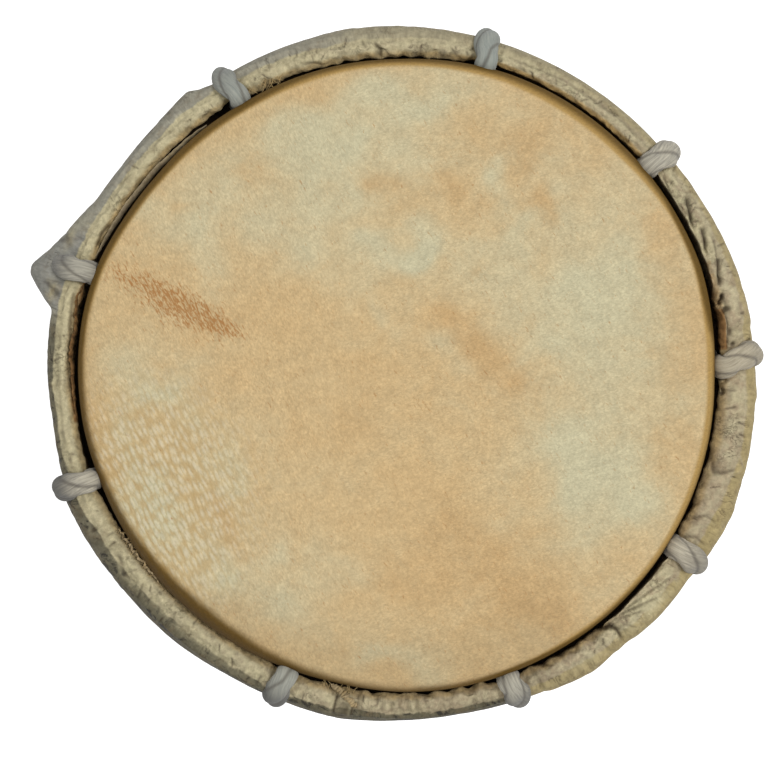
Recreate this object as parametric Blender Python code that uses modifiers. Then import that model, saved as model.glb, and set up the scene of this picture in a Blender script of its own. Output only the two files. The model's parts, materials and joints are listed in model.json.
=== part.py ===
"""A damaru: a two-headed hourglass hand drum with two swinging strikers.

Metres, +Z up. The drum stands on its lower head, with the origin at the middle
of that head. A head's parts are laid out by their depth below the head's face,
so the same functions make the upper and the lower end.
"""
import math

import bmesh
import bpy
from mathutils import Matrix, Vector

# Overall
HEIGHT = 0.170              # head face to head face
FIT = 0.0003                # gap kept between touching pieces
UPPER, LOWER = 1, -1        # the two ends of the drum

# Heads: a skin drawn over the shell's edge and lapped round a cane hoop
SKIN = 0.0008
SHOULDER_RADIUS = 0.0030    # middle of the skin, over the shell's edge
HOOP_RADIUS = 0.0696        # middle of the cane
HOOP_DEPTH = 0.0092         # middle of the cane below the head's face
HOOP_WIDTH = 0.0080
HOOP_THICKNESS = 0.0014
HOOP_SLANT = math.radians(8.0)
WEB_CORNER_RADIUS = 0.0014
TAIL_CLEARANCE = 0.0020     # end of the tucked skin above the web

# Lacing: one flattened cotton rope, up and down over both hoops
ROPE_WIDTH = 0.0049
ROPE_THICKNESS = 0.0024
ROPE_BEND_RADIUS = 0.0034
ROPE_NECK_BEND = 0.012
OUTER_FOOT = 0.0016         # bend of the outer leg below the hoop's end
INNER_FOOT = 0.0016         # bend of the inner leg below the web
UPPER_LOOPS = (3.0, 39.5, 75.0, 120.5, 162.0, 198.0, 249.0, 290.5, 327.5)
TIE_LOOP = 4                # the loop whose outer leg carries the tie-off
KNOT_LENGTH = 0.0090
KNOT_DEPTH = 0.0060

# Shell: one turned piece, bored through
NECK_RADIUS = 0.024
NECK_LENGTH = 0.042
BORE_RADIUS = 0.013
BORE_LENGTH = 0.016
RIM_WALL = 0.007
RIM_BAND = 0.0025           # straight side below the rounded edge
FLANK_POWER = 1.12

# Waist: the winding over the lacing, and the ring over the winding
CORD = 0.0030
WINDING_TURNS = 6
WINDING_GAP = 0.0009
WINDING_KNOT = 0.0040
RING_CORD = 0.0030

# Strikers: a rawhide thong that bends over the hoop, with a wooden bead
STRIKER_ANGLES = {"a": 30.4, "b": 210.4}
THONG_WIDTH = 0.0050
THONG_THICKNESS = 0.0012
FOLD_HEIGHT = 0.0025        # fold of the resting thong above the floor
FOLD_GAP = 0.0008           # each half of the thong ends this far from the fold
TIP_REACH = 0.0235          # fold to bead centre
BEAD_RADIUS = 0.0065
TIP_KNOT = 0.0028

# Counts of facets
TURN_STEPS = 48
SHELL_STEPS = 32
LOOP_POINTS = 24
CORD_SIDES = 6

# Distances out from the middle of the cane, to each side of it
CANE_END = (HOOP_WIDTH - HOOP_THICKNESS) / 2
LAP_MIDDLE = HOOP_THICKNESS / 2 + FIT + SKIN / 2
LAP_FACE = LAP_MIDDLE + SKIN / 2
ROPE_MIDDLE = LAP_FACE + FIT + ROPE_THICKNESS / 2
SKIRT_MIDDLE = ROPE_MIDDLE + ROPE_THICKNESS / 2 + FIT + SKIN / 2
SHELL_SIDE = SKIRT_MIDDLE + SKIN / 2 + FIT
WEB_DROP = CANE_END + LAP_MIDDLE

# Radii at the waist, each laid on the one before
NECK_ROPE = NECK_RADIUS + FIT + ROPE_THICKNESS / 2
WINDING_RADIUS = NECK_ROPE + ROPE_THICKNESS / 2 + FIT + CORD / 2
RING_RADIUS = WINDING_RADIUS + CORD / 2 + FIT + RING_CORD / 2
RING_LIFT = THONG_THICKNESS + FIT
PIVOT_RADIUS = RING_RADIUS + RING_LIFT
EYE_INNER = RING_CORD / 2 + FIT
EYE_OUTER = EYE_INNER + THONG_THICKNESS

MIDDLE = HEIGHT / 2
WINDING_PITCH = CORD + WINDING_GAP


def clear_scene():
    """Remove every object that is already there."""
    for item in list(bpy.data.objects):
        bpy.data.objects.remove(item, do_unlink=True)


def new_collection(name):
    """Return a new collection in the scene."""
    group = bpy.data.collections.new(name)
    bpy.context.scene.collection.children.link(group)
    return group


def add_object(name, data, group, finish=None):
    """Put mesh or curve data into an object, with its own material."""
    item = bpy.data.objects.new(name, data)
    group.objects.link(item)
    if finish is None:
        item.hide_render = True
        item.display_type = "WIRE"
        return item
    colour, roughness = finish
    material = bpy.data.materials.new(name)
    material.use_nodes = True
    shader = material.node_tree.nodes["Principled BSDF"]
    shader.inputs["Base Color"].default_value = (*colour, 1.0)
    shader.inputs["Roughness"].default_value = roughness
    shader.inputs["Metallic"].default_value = 0.0
    data.materials.append(material)
    return item


GOAT_SKIN = ((0.61, 0.47, 0.27), 0.55)
CANE = ((0.50, 0.33, 0.14), 0.6)
COTTON_ROPE = ((0.42, 0.38, 0.30), 0.9)
TURNED_WOOD = ((0.23, 0.09, 0.035), 0.4)
WAIST_CORD = ((0.42, 0.38, 0.30), 0.85)
RAWHIDE = ((0.30, 0.16, 0.07), 0.6)
BEAD_WOOD = ((0.16, 0.06, 0.025), 0.35)


def end_height(end, depth):
    """Height of a depth below one head's face."""
    return HEIGHT - depth if end == UPPER else depth


def hoop_spot(end, down, out):
    """Spot beside a hoop's section: down its slant, and out from its middle."""
    radius = HOOP_RADIUS + down * math.sin(HOOP_SLANT) + out * math.cos(HOOP_SLANT)
    depth = HOOP_DEPTH + down * math.cos(HOOP_SLANT) - out * math.sin(HOOP_SLANT)
    return Vector((radius, 0.0, end_height(end, depth)))


def turned_to(angle, spot):
    """Turn a spot of the +X section to an angle round the drum, in degrees."""
    return Matrix.Rotation(math.radians(angle), 3, "Z") @ spot


def rounded(corners, radii, steps):
    """Polyline through the corners, with each inner corner turned into an arc."""
    points = [corners[0]]
    for before, corner, after, radius in zip(corners, corners[1:], corners[2:], radii):
        back = (before - corner).normalized()
        ahead = (after - corner).normalized()
        half = back.angle(ahead) / 2
        reach = radius / math.tan(half)
        centre = corner + (back + ahead).normalized() * (radius / math.sin(half))
        start = (corner + back * reach - centre).normalized()
        finish = (corner + ahead * reach - centre).normalized()
        for step in range(steps + 1):
            point = centre + start.slerp(finish, step / steps) * radius
            if (point - points[-1]).length > FIT / 10:
                points.append(point)
    points.append(corners[-1])
    return points


def turned(name, profile, closed, steps, group, finish):
    """Turn a section in the XZ plane round the Z axis."""
    count = len(profile)
    links = [(i, i + 1) for i in range(count - 1)]
    if closed:
        links.append((count - 1, 0))
    mesh = bpy.data.meshes.new(name)
    mesh.from_pydata(profile, links, [])
    item = add_object(name, mesh, group, finish)
    screw = item.modifiers.new("turn", "SCREW")
    screw.axis = "Z"
    screw.angle = math.tau
    screw.steps = steps
    screw.render_steps = steps
    screw.use_merge_vertices = True
    screw.merge_threshold = 0.00001
    return item


def round_cord(name, points, diameter, cyclic, group, finish):
    """A round cord through the points."""
    curve = bpy.data.curves.new(name, "CURVE")
    curve.dimensions = "3D"
    curve.bevel_depth = diameter / 2
    curve.bevel_resolution = 1
    curve.use_fill_caps = True
    spline = curve.splines.new("POLY")
    spline.points.add(len(points) - 1)
    for spot, point in zip(spline.points, points):
        spot.co = (*point, 1.0)
    spline.use_cyclic_u = cyclic
    return add_object(name, curve, group, finish)


def flat_cord(name, points, width, thickness, group, finish):
    """Loft a flattened cord, whose broad side stays square to the drum's radius."""
    steepest = math.sin(math.tau / CORD_SIDES)
    shape = bmesh.new()
    rings = []
    for i, point in enumerate(points):
        travel = (points[min(i + 1, len(points) - 1)] - points[max(i - 1, 0)]).normalized()
        round_drum = Vector((-point.y, point.x, 0.0)).normalized()
        broad = (round_drum - travel * round_drum.dot(travel)).normalized()
        thin = travel.cross(broad)
        ring = []
        for side in range(CORD_SIDES):
            turn = math.tau * side / CORD_SIDES
            across = broad * (width / 2 * math.cos(turn))
            through = thin * (thickness / 2 * math.sin(turn) / steepest)
            ring.append(shape.verts.new(point + across + through))
        rings.append(ring)
    for ring, following in zip(rings, rings[1:]):
        for side in range(CORD_SIDES):
            ahead = (side + 1) % CORD_SIDES
            shape.faces.new((ring[side], ring[ahead], following[ahead], following[side]))
    shape.faces.new(rings[0][::-1])
    shape.faces.new(rings[-1])
    bmesh.ops.recalc_face_normals(shape, faces=shape.faces)
    mesh = bpy.data.meshes.new(name)
    shape.to_mesh(mesh)
    shape.free()
    return add_object(name, mesh, group, finish)


def strap_outline(name, outlines, width, group, finish):
    """A strap cut from flat outlines, as wide as the thong."""
    curve = bpy.data.curves.new(name, "CURVE")
    curve.dimensions = "2D"
    curve.fill_mode = "BOTH"
    curve.extrude = width / 2
    for outline in outlines:
        spline = curve.splines.new("POLY")
        spline.points.add(len(outline) - 1)
        for spot, (along, across) in zip(spline.points, outline):
            spot.co = (along, across, 0.0, 1.0)
        spline.use_cyclic_u = True
    return add_object(name, curve, group, finish)


def ball(name, matrix, group, finish, segments=16, rings=10):
    """A round or squashed ball, sized and placed by its matrix."""
    shape = bmesh.new()
    bmesh.ops.create_uvsphere(shape, u_segments=segments, v_segments=rings, radius=1.0)
    mesh = bpy.data.meshes.new(name)
    shape.to_mesh(mesh)
    shape.free()
    mesh.transform(matrix)
    return add_object(name, mesh, group, finish)


def box_mesh(name, matrices):
    """Boxes of unit size, each sized and placed by its matrix."""
    shape = bmesh.new()
    for matrix in matrices:
        bmesh.ops.create_cube(shape, size=1.0, matrix=matrix)
    mesh = bpy.data.meshes.new(name)
    shape.to_mesh(mesh)
    shape.free()
    return mesh


def cut(item, cutter):
    """Cut one object out of another."""
    boolean = item.modifiers.new(cutter.name, "BOOLEAN")
    boolean.operation = "DIFFERENCE"
    boolean.solver = "EXACT"
    boolean.object = cutter


def lower_loops():
    """The lower loops lie midway between the upper ones."""
    following = UPPER_LOOPS[1:] + (UPPER_LOOPS[0] + 360.0,)
    return tuple((first + second) / 2 for first, second in zip(UPPER_LOOPS, following))


def rim_corner(end):
    """Where the shell's flat rim and its straight side would meet."""
    side = hoop_spot(end, 0.0, -SHELL_SIDE)
    depth = SKIN + FIT
    drop = (HOOP_DEPTH + SHELL_SIDE * math.sin(HOOP_SLANT) - depth) / math.cos(HOOP_SLANT)
    corner = side.copy()
    corner.x -= drop * math.sin(HOOP_SLANT)
    corner.z = end_height(end, depth)
    return corner


def flank(low, high, narrow, wide, count):
    """Spots of a flank, as distances from the waist and radii, from wide to narrow."""
    spots = []
    for step in range(count + 1):
        share = 1.0 - step / count
        spots.append((low + (high - low) * share, narrow + (wide - narrow) * share ** FLANK_POWER))
    return spots


def make_shell(group):
    """The turned hourglass, bored through from bowl to bowl."""
    edge_radius = SHOULDER_RADIUS - SKIN / 2 - FIT
    corner = rim_corner(UPPER)
    rim_inner = Vector((corner.x - RIM_WALL, 0.0, corner.z))
    band_drop = edge_radius + RIM_BAND
    band_end = corner + Vector((band_drop * math.tan(HOOP_SLANT), 0.0, -band_drop))
    outer = rounded([rim_inner, corner, band_end], [edge_radius], 3)
    for rise, radius in flank(NECK_LENGTH / 2, band_end.z - MIDDLE, NECK_RADIUS, band_end.x, 6)[1:]:
        outer.append(Vector((radius, 0.0, MIDDLE + rise)))
    bowl = []
    for rise, radius in flank(BORE_LENGTH / 2, rim_inner.z - MIDDLE, BORE_RADIUS, rim_inner.x, 5)[1:]:
        bowl.append(Vector((radius, 0.0, MIDDLE + rise)))
    half = bowl[::-1] + outer
    mirrored = [Vector((spot.x, 0.0, HEIGHT - spot.z)) for spot in reversed(half)]
    turned("shell", half + mirrored, True, SHELL_STEPS, group, TURNED_WOOD)


def skin_corners(end):
    """Corners of the skin's middle line, from the head's centre to the tucked end."""
    face = end_height(end, SKIN / 2)
    side = hoop_spot(end, 0.0, -SKIRT_MIDDLE)
    drop = HOOP_DEPTH + SKIRT_MIDDLE * math.sin(HOOP_SLANT) - SKIN / 2
    shoulder = Vector((side.x - drop * math.tan(HOOP_SLANT), 0.0, face))
    return [
        Vector((0.0, 0.0, face)),
        shoulder,
        hoop_spot(end, WEB_DROP, -SKIRT_MIDDLE),
        hoop_spot(end, WEB_DROP, LAP_MIDDLE),
        hoop_spot(end, -WEB_DROP, LAP_MIDDLE),
        hoop_spot(end, -WEB_DROP, -LAP_MIDDLE),
        hoop_spot(end, WEB_DROP - TAIL_CLEARANCE, -LAP_MIDDLE),
    ]


def make_rope_slots(name, end, loops, group):
    """Boxes that cut the web where the rope's inner legs go through."""
    size = Vector((ROPE_THICKNESS + 2 * FIT, ROPE_WIDTH + 2 * FIT, 2 * TAIL_CLEARANCE))
    tilt = Matrix.Rotation(-end * HOOP_SLANT, 4, "Y")
    middle = Matrix.Translation(hoop_spot(end, WEB_DROP + TAIL_CLEARANCE / 2, -ROPE_MIDDLE))
    section = middle @ tilt @ Matrix.Diagonal((*size, 1.0))
    places = [Matrix.Rotation(math.radians(angle), 4, "Z") @ section for angle in loops]
    return add_object(name, box_mesh(name, places), group)


def make_head(prefix, end, loops, group, cutters):
    """A skin with its lap and rope slots, and the cane hoop inside the lap."""
    radii = [SHOULDER_RADIUS, WEB_CORNER_RADIUS, LAP_MIDDLE, LAP_MIDDLE, LAP_MIDDLE]
    middle_line = rounded(skin_corners(end), radii, 2)
    skin = turned(prefix + "_skin", middle_line, False, TURN_STEPS, group, GOAT_SKIN)
    wall = skin.modifiers.new("thickness", "SOLIDIFY")
    wall.thickness = SKIN
    wall.offset = 0.0
    wall.use_even_offset = True
    cut(skin, make_rope_slots(prefix + "_rope_slots", end, loops, cutters))

    half = HOOP_THICKNESS / 2
    section = []
    for centre, first in ((-CANE_END, 0.0), (CANE_END, math.pi)):
        for step in range(4):
            turn = first + math.pi * step / 3
            section.append(hoop_spot(end, centre - half * math.sin(turn), half * math.cos(turn)))
    if end == UPPER:
        section.reverse()
    turned(prefix + "_hoop", section, True, TURN_STEPS, group, CANE)


def loop_corners(end, angle):
    """Corners of one rope loop, from its outer foot over the hoop to its inner foot."""
    top = -(CANE_END + ROPE_MIDDLE)
    spots = (
        (CANE_END + OUTER_FOOT, ROPE_MIDDLE),
        (top, ROPE_MIDDLE),
        (top, -ROPE_MIDDLE),
        (WEB_DROP + SKIN / 2 + FIT + INNER_FOOT, -ROPE_MIDDLE),
    )
    return [turned_to(angle, hoop_spot(end, down, out)) for down, out in spots]


def neck_corners(end, first, second):
    """Corners where a strand runs straight along the shell's neck."""
    rise = (WINDING_TURNS * WINDING_PITCH + CORD) / 2 + ROPE_NECK_BEND / 3
    corners = []
    for share, level in ((0.45, rise), (0.55, -rise)):
        angle = first + (second - first) * share
        corners.append(turned_to(angle, Vector((NECK_ROPE, 0.0, MIDDLE + end * level))))
    return corners


def lacing_route():
    """Corners and bend radii of the rope, from the tie-off round to the tie-off."""
    loop_radii = [ROPE_BEND_RADIUS, ROPE_MIDDLE, ROPE_MIDDLE, ROPE_BEND_RADIUS]
    neck_radii = [ROPE_NECK_BEND, ROPE_NECK_BEND]
    count = len(UPPER_LOOPS)
    corners, radii = [], []
    for step in range(count):
        index = (TIE_LOOP + step) % count
        upper = UPPER_LOOPS[index]
        lower = lower_loops()[index]
        beyond = UPPER_LOOPS[(index + 1) % count]
        if beyond < upper:
            beyond += 360.0
        corners += loop_corners(UPPER, upper) + neck_corners(UPPER, upper, lower)
        corners += loop_corners(LOWER, lower) + neck_corners(LOWER, lower, beyond)
        radii += (loop_radii + neck_radii) * 2
    tie_foot = corners[0]
    tie_top = corners[1]
    knot_clear = KNOT_LENGTH / 2 + FIT
    corners[0] = tie_foot + (tie_top - tie_foot).normalized() * knot_clear
    corners.append(tie_foot + (corners[-1] - tie_foot).normalized() * knot_clear)
    return corners, radii[1:]


def make_lacing(group):
    """The rope, and the knot that ties its two ends together."""
    corners, radii = lacing_route()
    points = rounded(corners, radii, 2)
    flat_cord("lacing", points, ROPE_WIDTH, ROPE_THICKNESS, group, COTTON_ROPE)

    angle = UPPER_LOOPS[TIE_LOOP]
    out = LAP_FACE + FIT + KNOT_DEPTH / 2
    place = hoop_spot(UPPER, CANE_END + OUTER_FOOT, out)
    size = Matrix.Diagonal((KNOT_DEPTH / 2, KNOT_LENGTH / 2, KNOT_LENGTH / 2, 1.0))
    turn = Matrix.Rotation(math.radians(angle), 4, "Z")
    ball("lacing_knot", turn @ Matrix.Translation(place) @ size, group, COTTON_ROPE, 12, 8)


def winding_points():
    """The helix of the waist winding, with straight ends one diameter long."""
    count = WINDING_TURNS * LOOP_POINTS
    points = []
    for step in range(count + 1):
        turn = math.tau * step / LOOP_POINTS
        rise = WINDING_PITCH * (step / LOOP_POINTS - WINDING_TURNS / 2)
        points.append(Vector((
            WINDING_RADIUS * math.cos(turn), WINDING_RADIUS * math.sin(turn), MIDDLE + rise)))
    start = Vector((0.0, -CORD, 0.0))
    return [points[0] + start] + points + [points[-1] - start]


def least_self_gap(points, diameter):
    """Least gap between turns, from points that lie over half a turn apart."""
    nearest = math.inf
    for i, point in enumerate(points):
        for other in points[i + LOOP_POINTS // 2:]:
            nearest = min(nearest, (other - point).length)
    return nearest - diameter


def make_waist(group):
    """The winding with its end knots, and the ring that carries the strikers."""
    points = winding_points()
    print(f"waist winding: least gap to itself {least_self_gap(points, CORD) * 1000:.2f} mm")
    round_cord("waist_winding", points, CORD, False, group, WAIST_CORD)
    size = Matrix.Diagonal((WINDING_KNOT / 2, WINDING_KNOT / 2, WINDING_KNOT / 2, 1.0))
    for name, end, before in (("lower", points[0], points[1]), ("upper", points[-1], points[-2])):
        away = (end - before).normalized() * (WINDING_KNOT / 2 + FIT)
        ball("winding_knot_" + name, Matrix.Translation(end + away) @ size, group, WAIST_CORD, 10, 8)

    ring = []
    for step in range(2 * LOOP_POINTS):
        angle = 360.0 * step / (2 * LOOP_POINTS)
        lift = max(ring_lift(angle - place) for place in STRIKER_ANGLES.values())
        ring.append(turned_to(angle, Vector((RING_RADIUS + lift, 0.0, MIDDLE))))
    round_cord("waist_ring", ring, RING_CORD, True, group, WAIST_CORD)


def ring_lift(turn):
    """How far the ring stands off the winding, level over a thong's eye."""
    level = 12.0
    fade = 24.0
    away = abs((turn + 180.0) % 360.0 - 180.0)
    share = min(max((away - level) / fade, 0.0), 1.0)
    return RING_LIFT * (1.0 + math.cos(math.pi * share)) / 2


def thong_fall():
    """Angle below level at which a thong leans past the lower hoop, just clear of it."""
    end = hoop_spot(LOWER, CANE_END, 0.0)
    to_end = Vector((end.x - PIVOT_RADIUS, MIDDLE - end.z))
    clear = LAP_FACE + FIT + THONG_THICKNESS / 2
    return math.atan2(to_end.y, to_end.x) - math.asin(clear / to_end.length)


def bead_lift(height):
    """Angle above level of a tip whose bead lies on a surface this far below the fold."""
    return math.asin((BEAD_RADIUS + FIT - height) / TIP_REACH)


def print_joints():
    """Print where the strikers hinge and how far they swing, in metres and degrees."""
    fall = thong_fall()
    fold_radius = PIVOT_RADIUS + (MIDDLE - FOLD_HEIGHT) / math.tan(fall)
    strike = math.pi - bead_lift(-FOLD_HEIGHT)
    rest = bead_lift(FOLD_HEIGHT)
    print(f"swing 0 to {math.degrees(2 * fall):.2f}")
    print(f"fold {math.degrees(-strike - rest):.2f} to {math.degrees(strike - rest - 2 * fall):.2f}")
    for letter, angle in STRIKER_ANGLES.items():
        pivot = turned_to(angle, Vector((PIVOT_RADIUS, 0.0, MIDDLE)))
        fold = turned_to(angle, Vector((fold_radius, 0.0, FOLD_HEIGHT)))
        axis = turned_to(angle, Vector((0.0, -1.0, 0.0)))
        print(f"striker {letter}: pivot {pivot[:]}, fold {fold[:]}, axis {axis[:]}")


def circle_outline(radius, first, last, steps):
    """Points on an arc round the origin."""
    turns = [first + (last - first) * step / steps for step in range(steps + 1)]
    return [(radius * math.cos(turn), radius * math.sin(turn)) for turn in turns]


def make_striker(letter, angle, group, cutters):
    """One striker: the thong on the ring, its tip beyond the fold, and the bead."""
    name = "striker_" + letter
    fall = thong_fall()
    reach = (MIDDLE - FOLD_HEIGHT) / math.sin(fall)

    pivot = bpy.data.objects.new(name + "_pivot", None)
    group.objects.link(pivot)
    section = Matrix.Rotation(math.radians(angle), 4, "Z") @ Matrix.Rotation(math.pi / 2, 4, "X")
    place = turned_to(angle, Vector((PIVOT_RADIUS, 0.0, MIDDLE)))
    pivot.matrix_world = Matrix.Translation(place) @ section @ Matrix.Rotation(-fall, 4, "Z")
    fold = bpy.data.objects.new(name + "_fold", None)
    group.objects.link(fold)
    fold.parent = pivot
    fold.location = (reach, 0.0, 0.0)
    fold.rotation_euler = (0.0, 0.0, fall + bead_lift(FOLD_HEIGHT))

    half = THONG_THICKNESS / 2
    root = math.asin(half / EYE_OUTER)
    eye = circle_outline(EYE_OUTER, root, math.tau - root, 16)
    strap = eye + [(reach - FOLD_GAP, -half), (reach - FOLD_GAP, half)]
    hole = circle_outline(EYE_INNER, 0.0, math.tau, 16)[:-1]
    thong = strap_outline(name + "_thong", [strap, hole], THONG_WIDTH, group, RAWHIDE)
    thong.parent = pivot

    stop = TIP_REACH + BEAD_RADIUS + FIT
    knot = TIP_KNOT / 2
    edge = [(FOLD_GAP, half), (stop, half), (stop, knot), (stop + TIP_KNOT, knot)]
    outline = [(along, -across) for along, across in edge] + edge[::-1]
    tip = strap_outline(name + "_tip", [outline], THONG_WIDTH, group, RAWHIDE)
    tip.parent = fold

    size = Matrix.Diagonal((BEAD_RADIUS, BEAD_RADIUS, BEAD_RADIUS, 1.0))
    bead = ball(name + "_bead", size, group, BEAD_WOOD)
    slot = Matrix.Diagonal((
        3 * BEAD_RADIUS, THONG_THICKNESS + 2 * FIT, THONG_WIDTH + 2 * FIT, 1.0))
    cutter = add_object(name + "_bead_slot", box_mesh(name + "_bead_slot", [slot]), cutters)
    for item in (bead, cutter):
        item.parent = fold
        item.location = (TIP_REACH, 0.0, 0.0)
    cut(bead, cutter)


def smooth_round_pieces(group):
    """Shade round surfaces smooth, and keep their real edges sharp."""
    for item in group.objects:
        if item.type == "MESH":
            item.data.shade_smooth()
            item.data.set_sharp_from_angle(angle=math.radians(40.0))


def main():
    clear_scene()
    group = new_collection("damaru")
    cutters = new_collection("damaru_cutters")
    make_shell(group)
    make_head("upper", UPPER, UPPER_LOOPS, group, cutters)
    make_head("lower", LOWER, lower_loops(), group, cutters)
    make_lacing(group)
    make_waist(group)
    for letter, angle in STRIKER_ANGLES.items():
        make_striker(letter, angle, group, cutters)
    smooth_round_pieces(group)
    print_joints()
    bpy.context.view_layer.update()


main()
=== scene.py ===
"""Dresses the damaru's frame: skins and laps, rope, waist, shell, strikers and the stage.

Metres, +Z up, in the frame's own axes. Sizes round the heads are written in millimetres:
a depth is measured down from a head's face, and a seen radius is the one that the camera
sees on the upper head's plane.
"""

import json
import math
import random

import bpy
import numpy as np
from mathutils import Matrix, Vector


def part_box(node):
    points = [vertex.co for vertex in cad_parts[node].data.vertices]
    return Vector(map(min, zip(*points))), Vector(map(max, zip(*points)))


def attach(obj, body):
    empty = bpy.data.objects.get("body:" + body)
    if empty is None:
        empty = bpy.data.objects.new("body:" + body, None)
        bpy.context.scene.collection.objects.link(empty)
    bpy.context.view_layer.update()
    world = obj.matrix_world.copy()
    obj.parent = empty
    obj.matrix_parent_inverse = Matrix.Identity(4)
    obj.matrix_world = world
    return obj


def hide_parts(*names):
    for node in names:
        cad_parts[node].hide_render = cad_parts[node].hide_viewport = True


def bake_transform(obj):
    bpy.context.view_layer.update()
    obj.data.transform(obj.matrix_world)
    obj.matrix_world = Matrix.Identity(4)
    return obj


bl_info = {
    "name": "Damaru looks",
    "version": (1, 0, 0),
    "blender": (4, 5, 0),
    "location": "3D View > Sidebar > Damaru",
    "description": "Dresses the frame of a damaru with its skins, rope, wood and strikers",
    "category": "Object",
}

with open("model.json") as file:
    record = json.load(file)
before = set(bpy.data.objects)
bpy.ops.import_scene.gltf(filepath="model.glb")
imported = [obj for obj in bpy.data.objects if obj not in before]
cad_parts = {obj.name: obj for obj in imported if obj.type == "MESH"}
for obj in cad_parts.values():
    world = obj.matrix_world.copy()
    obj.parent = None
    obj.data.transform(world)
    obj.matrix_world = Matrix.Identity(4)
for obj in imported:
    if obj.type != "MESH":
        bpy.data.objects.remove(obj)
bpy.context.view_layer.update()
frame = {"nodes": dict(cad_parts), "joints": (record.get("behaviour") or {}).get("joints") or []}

MM = 0.001
UPPER, LOWER = 1, -1
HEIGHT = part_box("upper_skin")[1].z
MIDDLE = HEIGHT / 2
HOOP_SLANT = math.radians(8.0)
UP = np.array((0.0, 0.0, 1.0))
WELD = 0.005 * MM

# Places round the drum, in degrees from +X, and the loop that the tie-off is behind
UPPER_LOOPS = (3.4, 39.5, 75.0, 120.5, 162.0, 198.7, 249.0, 290.5, 328.0)
STRIKER_ANGLES = {"a": 30.4, "b": 210.4}
TIE_LOOP = 4

# Each upper loop: seen radii of its inner end and tip, the lean of its inner end in degrees,
# its width beside the others, and its tint from warm, -1, to cool, 1
LOOP_REACH = (
    (63.3, 73.3, -1.9, 1.02, -0.7), (63.6, 72.5, 0.4, 1.05, 0.1), (62.9, 71.9, -0.8, 0.94, 0.9),
    (62.1, 71.3, -0.7, 0.92, 0.8), (63.6, 72.8, -0.4, 1.00, 0.2), (63.3, 73.0, 0.2, 0.98, 0.0),
    (62.1, 71.0, 0.6, 0.97, 0.6), (63.3, 71.0, -0.5, 1.02, 0.2), (63.8, 72.9, 0.2, 1.04, -0.3),
)

# The strands of each cord, and the length of one turn of a strand in the waist's cords
STRANDS = 3
WAIST_LAY = 9.0 * MM

# The upper lap from above: angle, then seen radii of its inner edge, ridge and outer edge
LAP_OUTLINE = (
    (0, 64.2, 69.5, 71.5), (10, 64.8, 69.6, 71.0), (20, 65.0, 69.0, 70.5), (30, 64.8, 68.6, 69.6),
    (45, 64.8, 67.8, 69.3), (55, 64.7, 67.6, 69.1), (65, 64.7, 67.5, 69.2), (72, 64.8, 67.4, 69.4),
    (80, 64.1, 67.6, 69.6), (90, 63.7, 67.2, 69.8), (100, 63.6, 67.0, 69.9), (110, 63.5, 67.0, 69.2),
    (118, 63.5, 67.2, 68.6), (122.5, 63.9, 67.3, 68.0), (126.5, 64.0, 67.4, 70.6),
    (135, 64.0, 67.3, 69.4), (143, 64.2, 67.3, 68.8), (150, 64.5, 67.6, 69.8), (157, 65.0, 68.2, 72.2),
    (160, 65.0, 68.5, 73.9), (163.2, 65.0, 68.8, 76.4), (164.6, 65.1, 68.9, 76.2),
    (167.6, 65.3, 69.0, 72.5), (169.2, 65.3, 69.0, 70.2), (178, 65.3, 68.8, 70.1),
    (187, 65.0, 68.7, 69.4), (196, 64.8, 68.6, 69.8), (201, 64.3, 68.5, 70.9), (210, 63.5, 67.4, 70.2),
    (220, 62.9, 66.6, 69.5), (230, 62.7, 66.3, 69.2), (240, 62.7, 66.7, 68.0), (250, 63.1, 67.3, 68.4),
    (260, 63.5, 67.5, 69.6), (270, 63.8, 67.4, 68.3), (280, 64.0, 67.5, 67.9), (290, 64.2, 67.6, 68.9),
    (295, 64.4, 67.7, 69.7), (303.5, 64.5, 67.8, 70.8), (308, 64.5, 67.9, 70.1), (317, 64.3, 68.0, 71.0),
    (325, 64.4, 68.2, 70.8), (330, 64.2, 68.5, 71.7), (337, 64.2, 69.0, 72.3), (350, 64.1, 69.8, 71.7),
    (355.2, 64.1, 69.7, 71.5), (356.4, 64.1, 69.7, 71.9),
)

# The upper head from above: angle, then seen radii of its worn band's start and of its edge
HEAD_OUTLINE = (
    (0, 61.8, 63.4), (10, 62.0, 63.9), (20, 62.8, 64.5), (30, 63.0, 64.4), (45, 62.0, 64.4),
    (60, 62.0, 64.4), (70, 62.2, 64.3), (80, 62.0, 63.8), (90, 61.8, 63.3), (100, 61.5, 63.2),
    (110, 61.0, 63.0), (120, 60.8, 62.7), (130, 60.8, 62.8), (140, 60.9, 62.7), (150, 61.5, 63.2),
    (160, 62.5, 64.1), (170, 62.8, 64.3), (180, 62.4, 64.2), (190, 62.0, 64.0), (200, 61.4, 63.5),
    (210, 60.8, 63.3), (220, 59.8, 63.3), (230, 59.6, 63.2), (240, 60.0, 63.2), (250, 60.8, 63.0),
    (258, 61.5, 63.0), (270, 62.3, 63.6), (280, 62.6, 63.8), (300, 62.6, 63.8), (310, 62.7, 63.9),
    (330, 62.6, 63.8), (340, 62.3, 63.7), (350, 62.1, 63.6),
)

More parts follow.
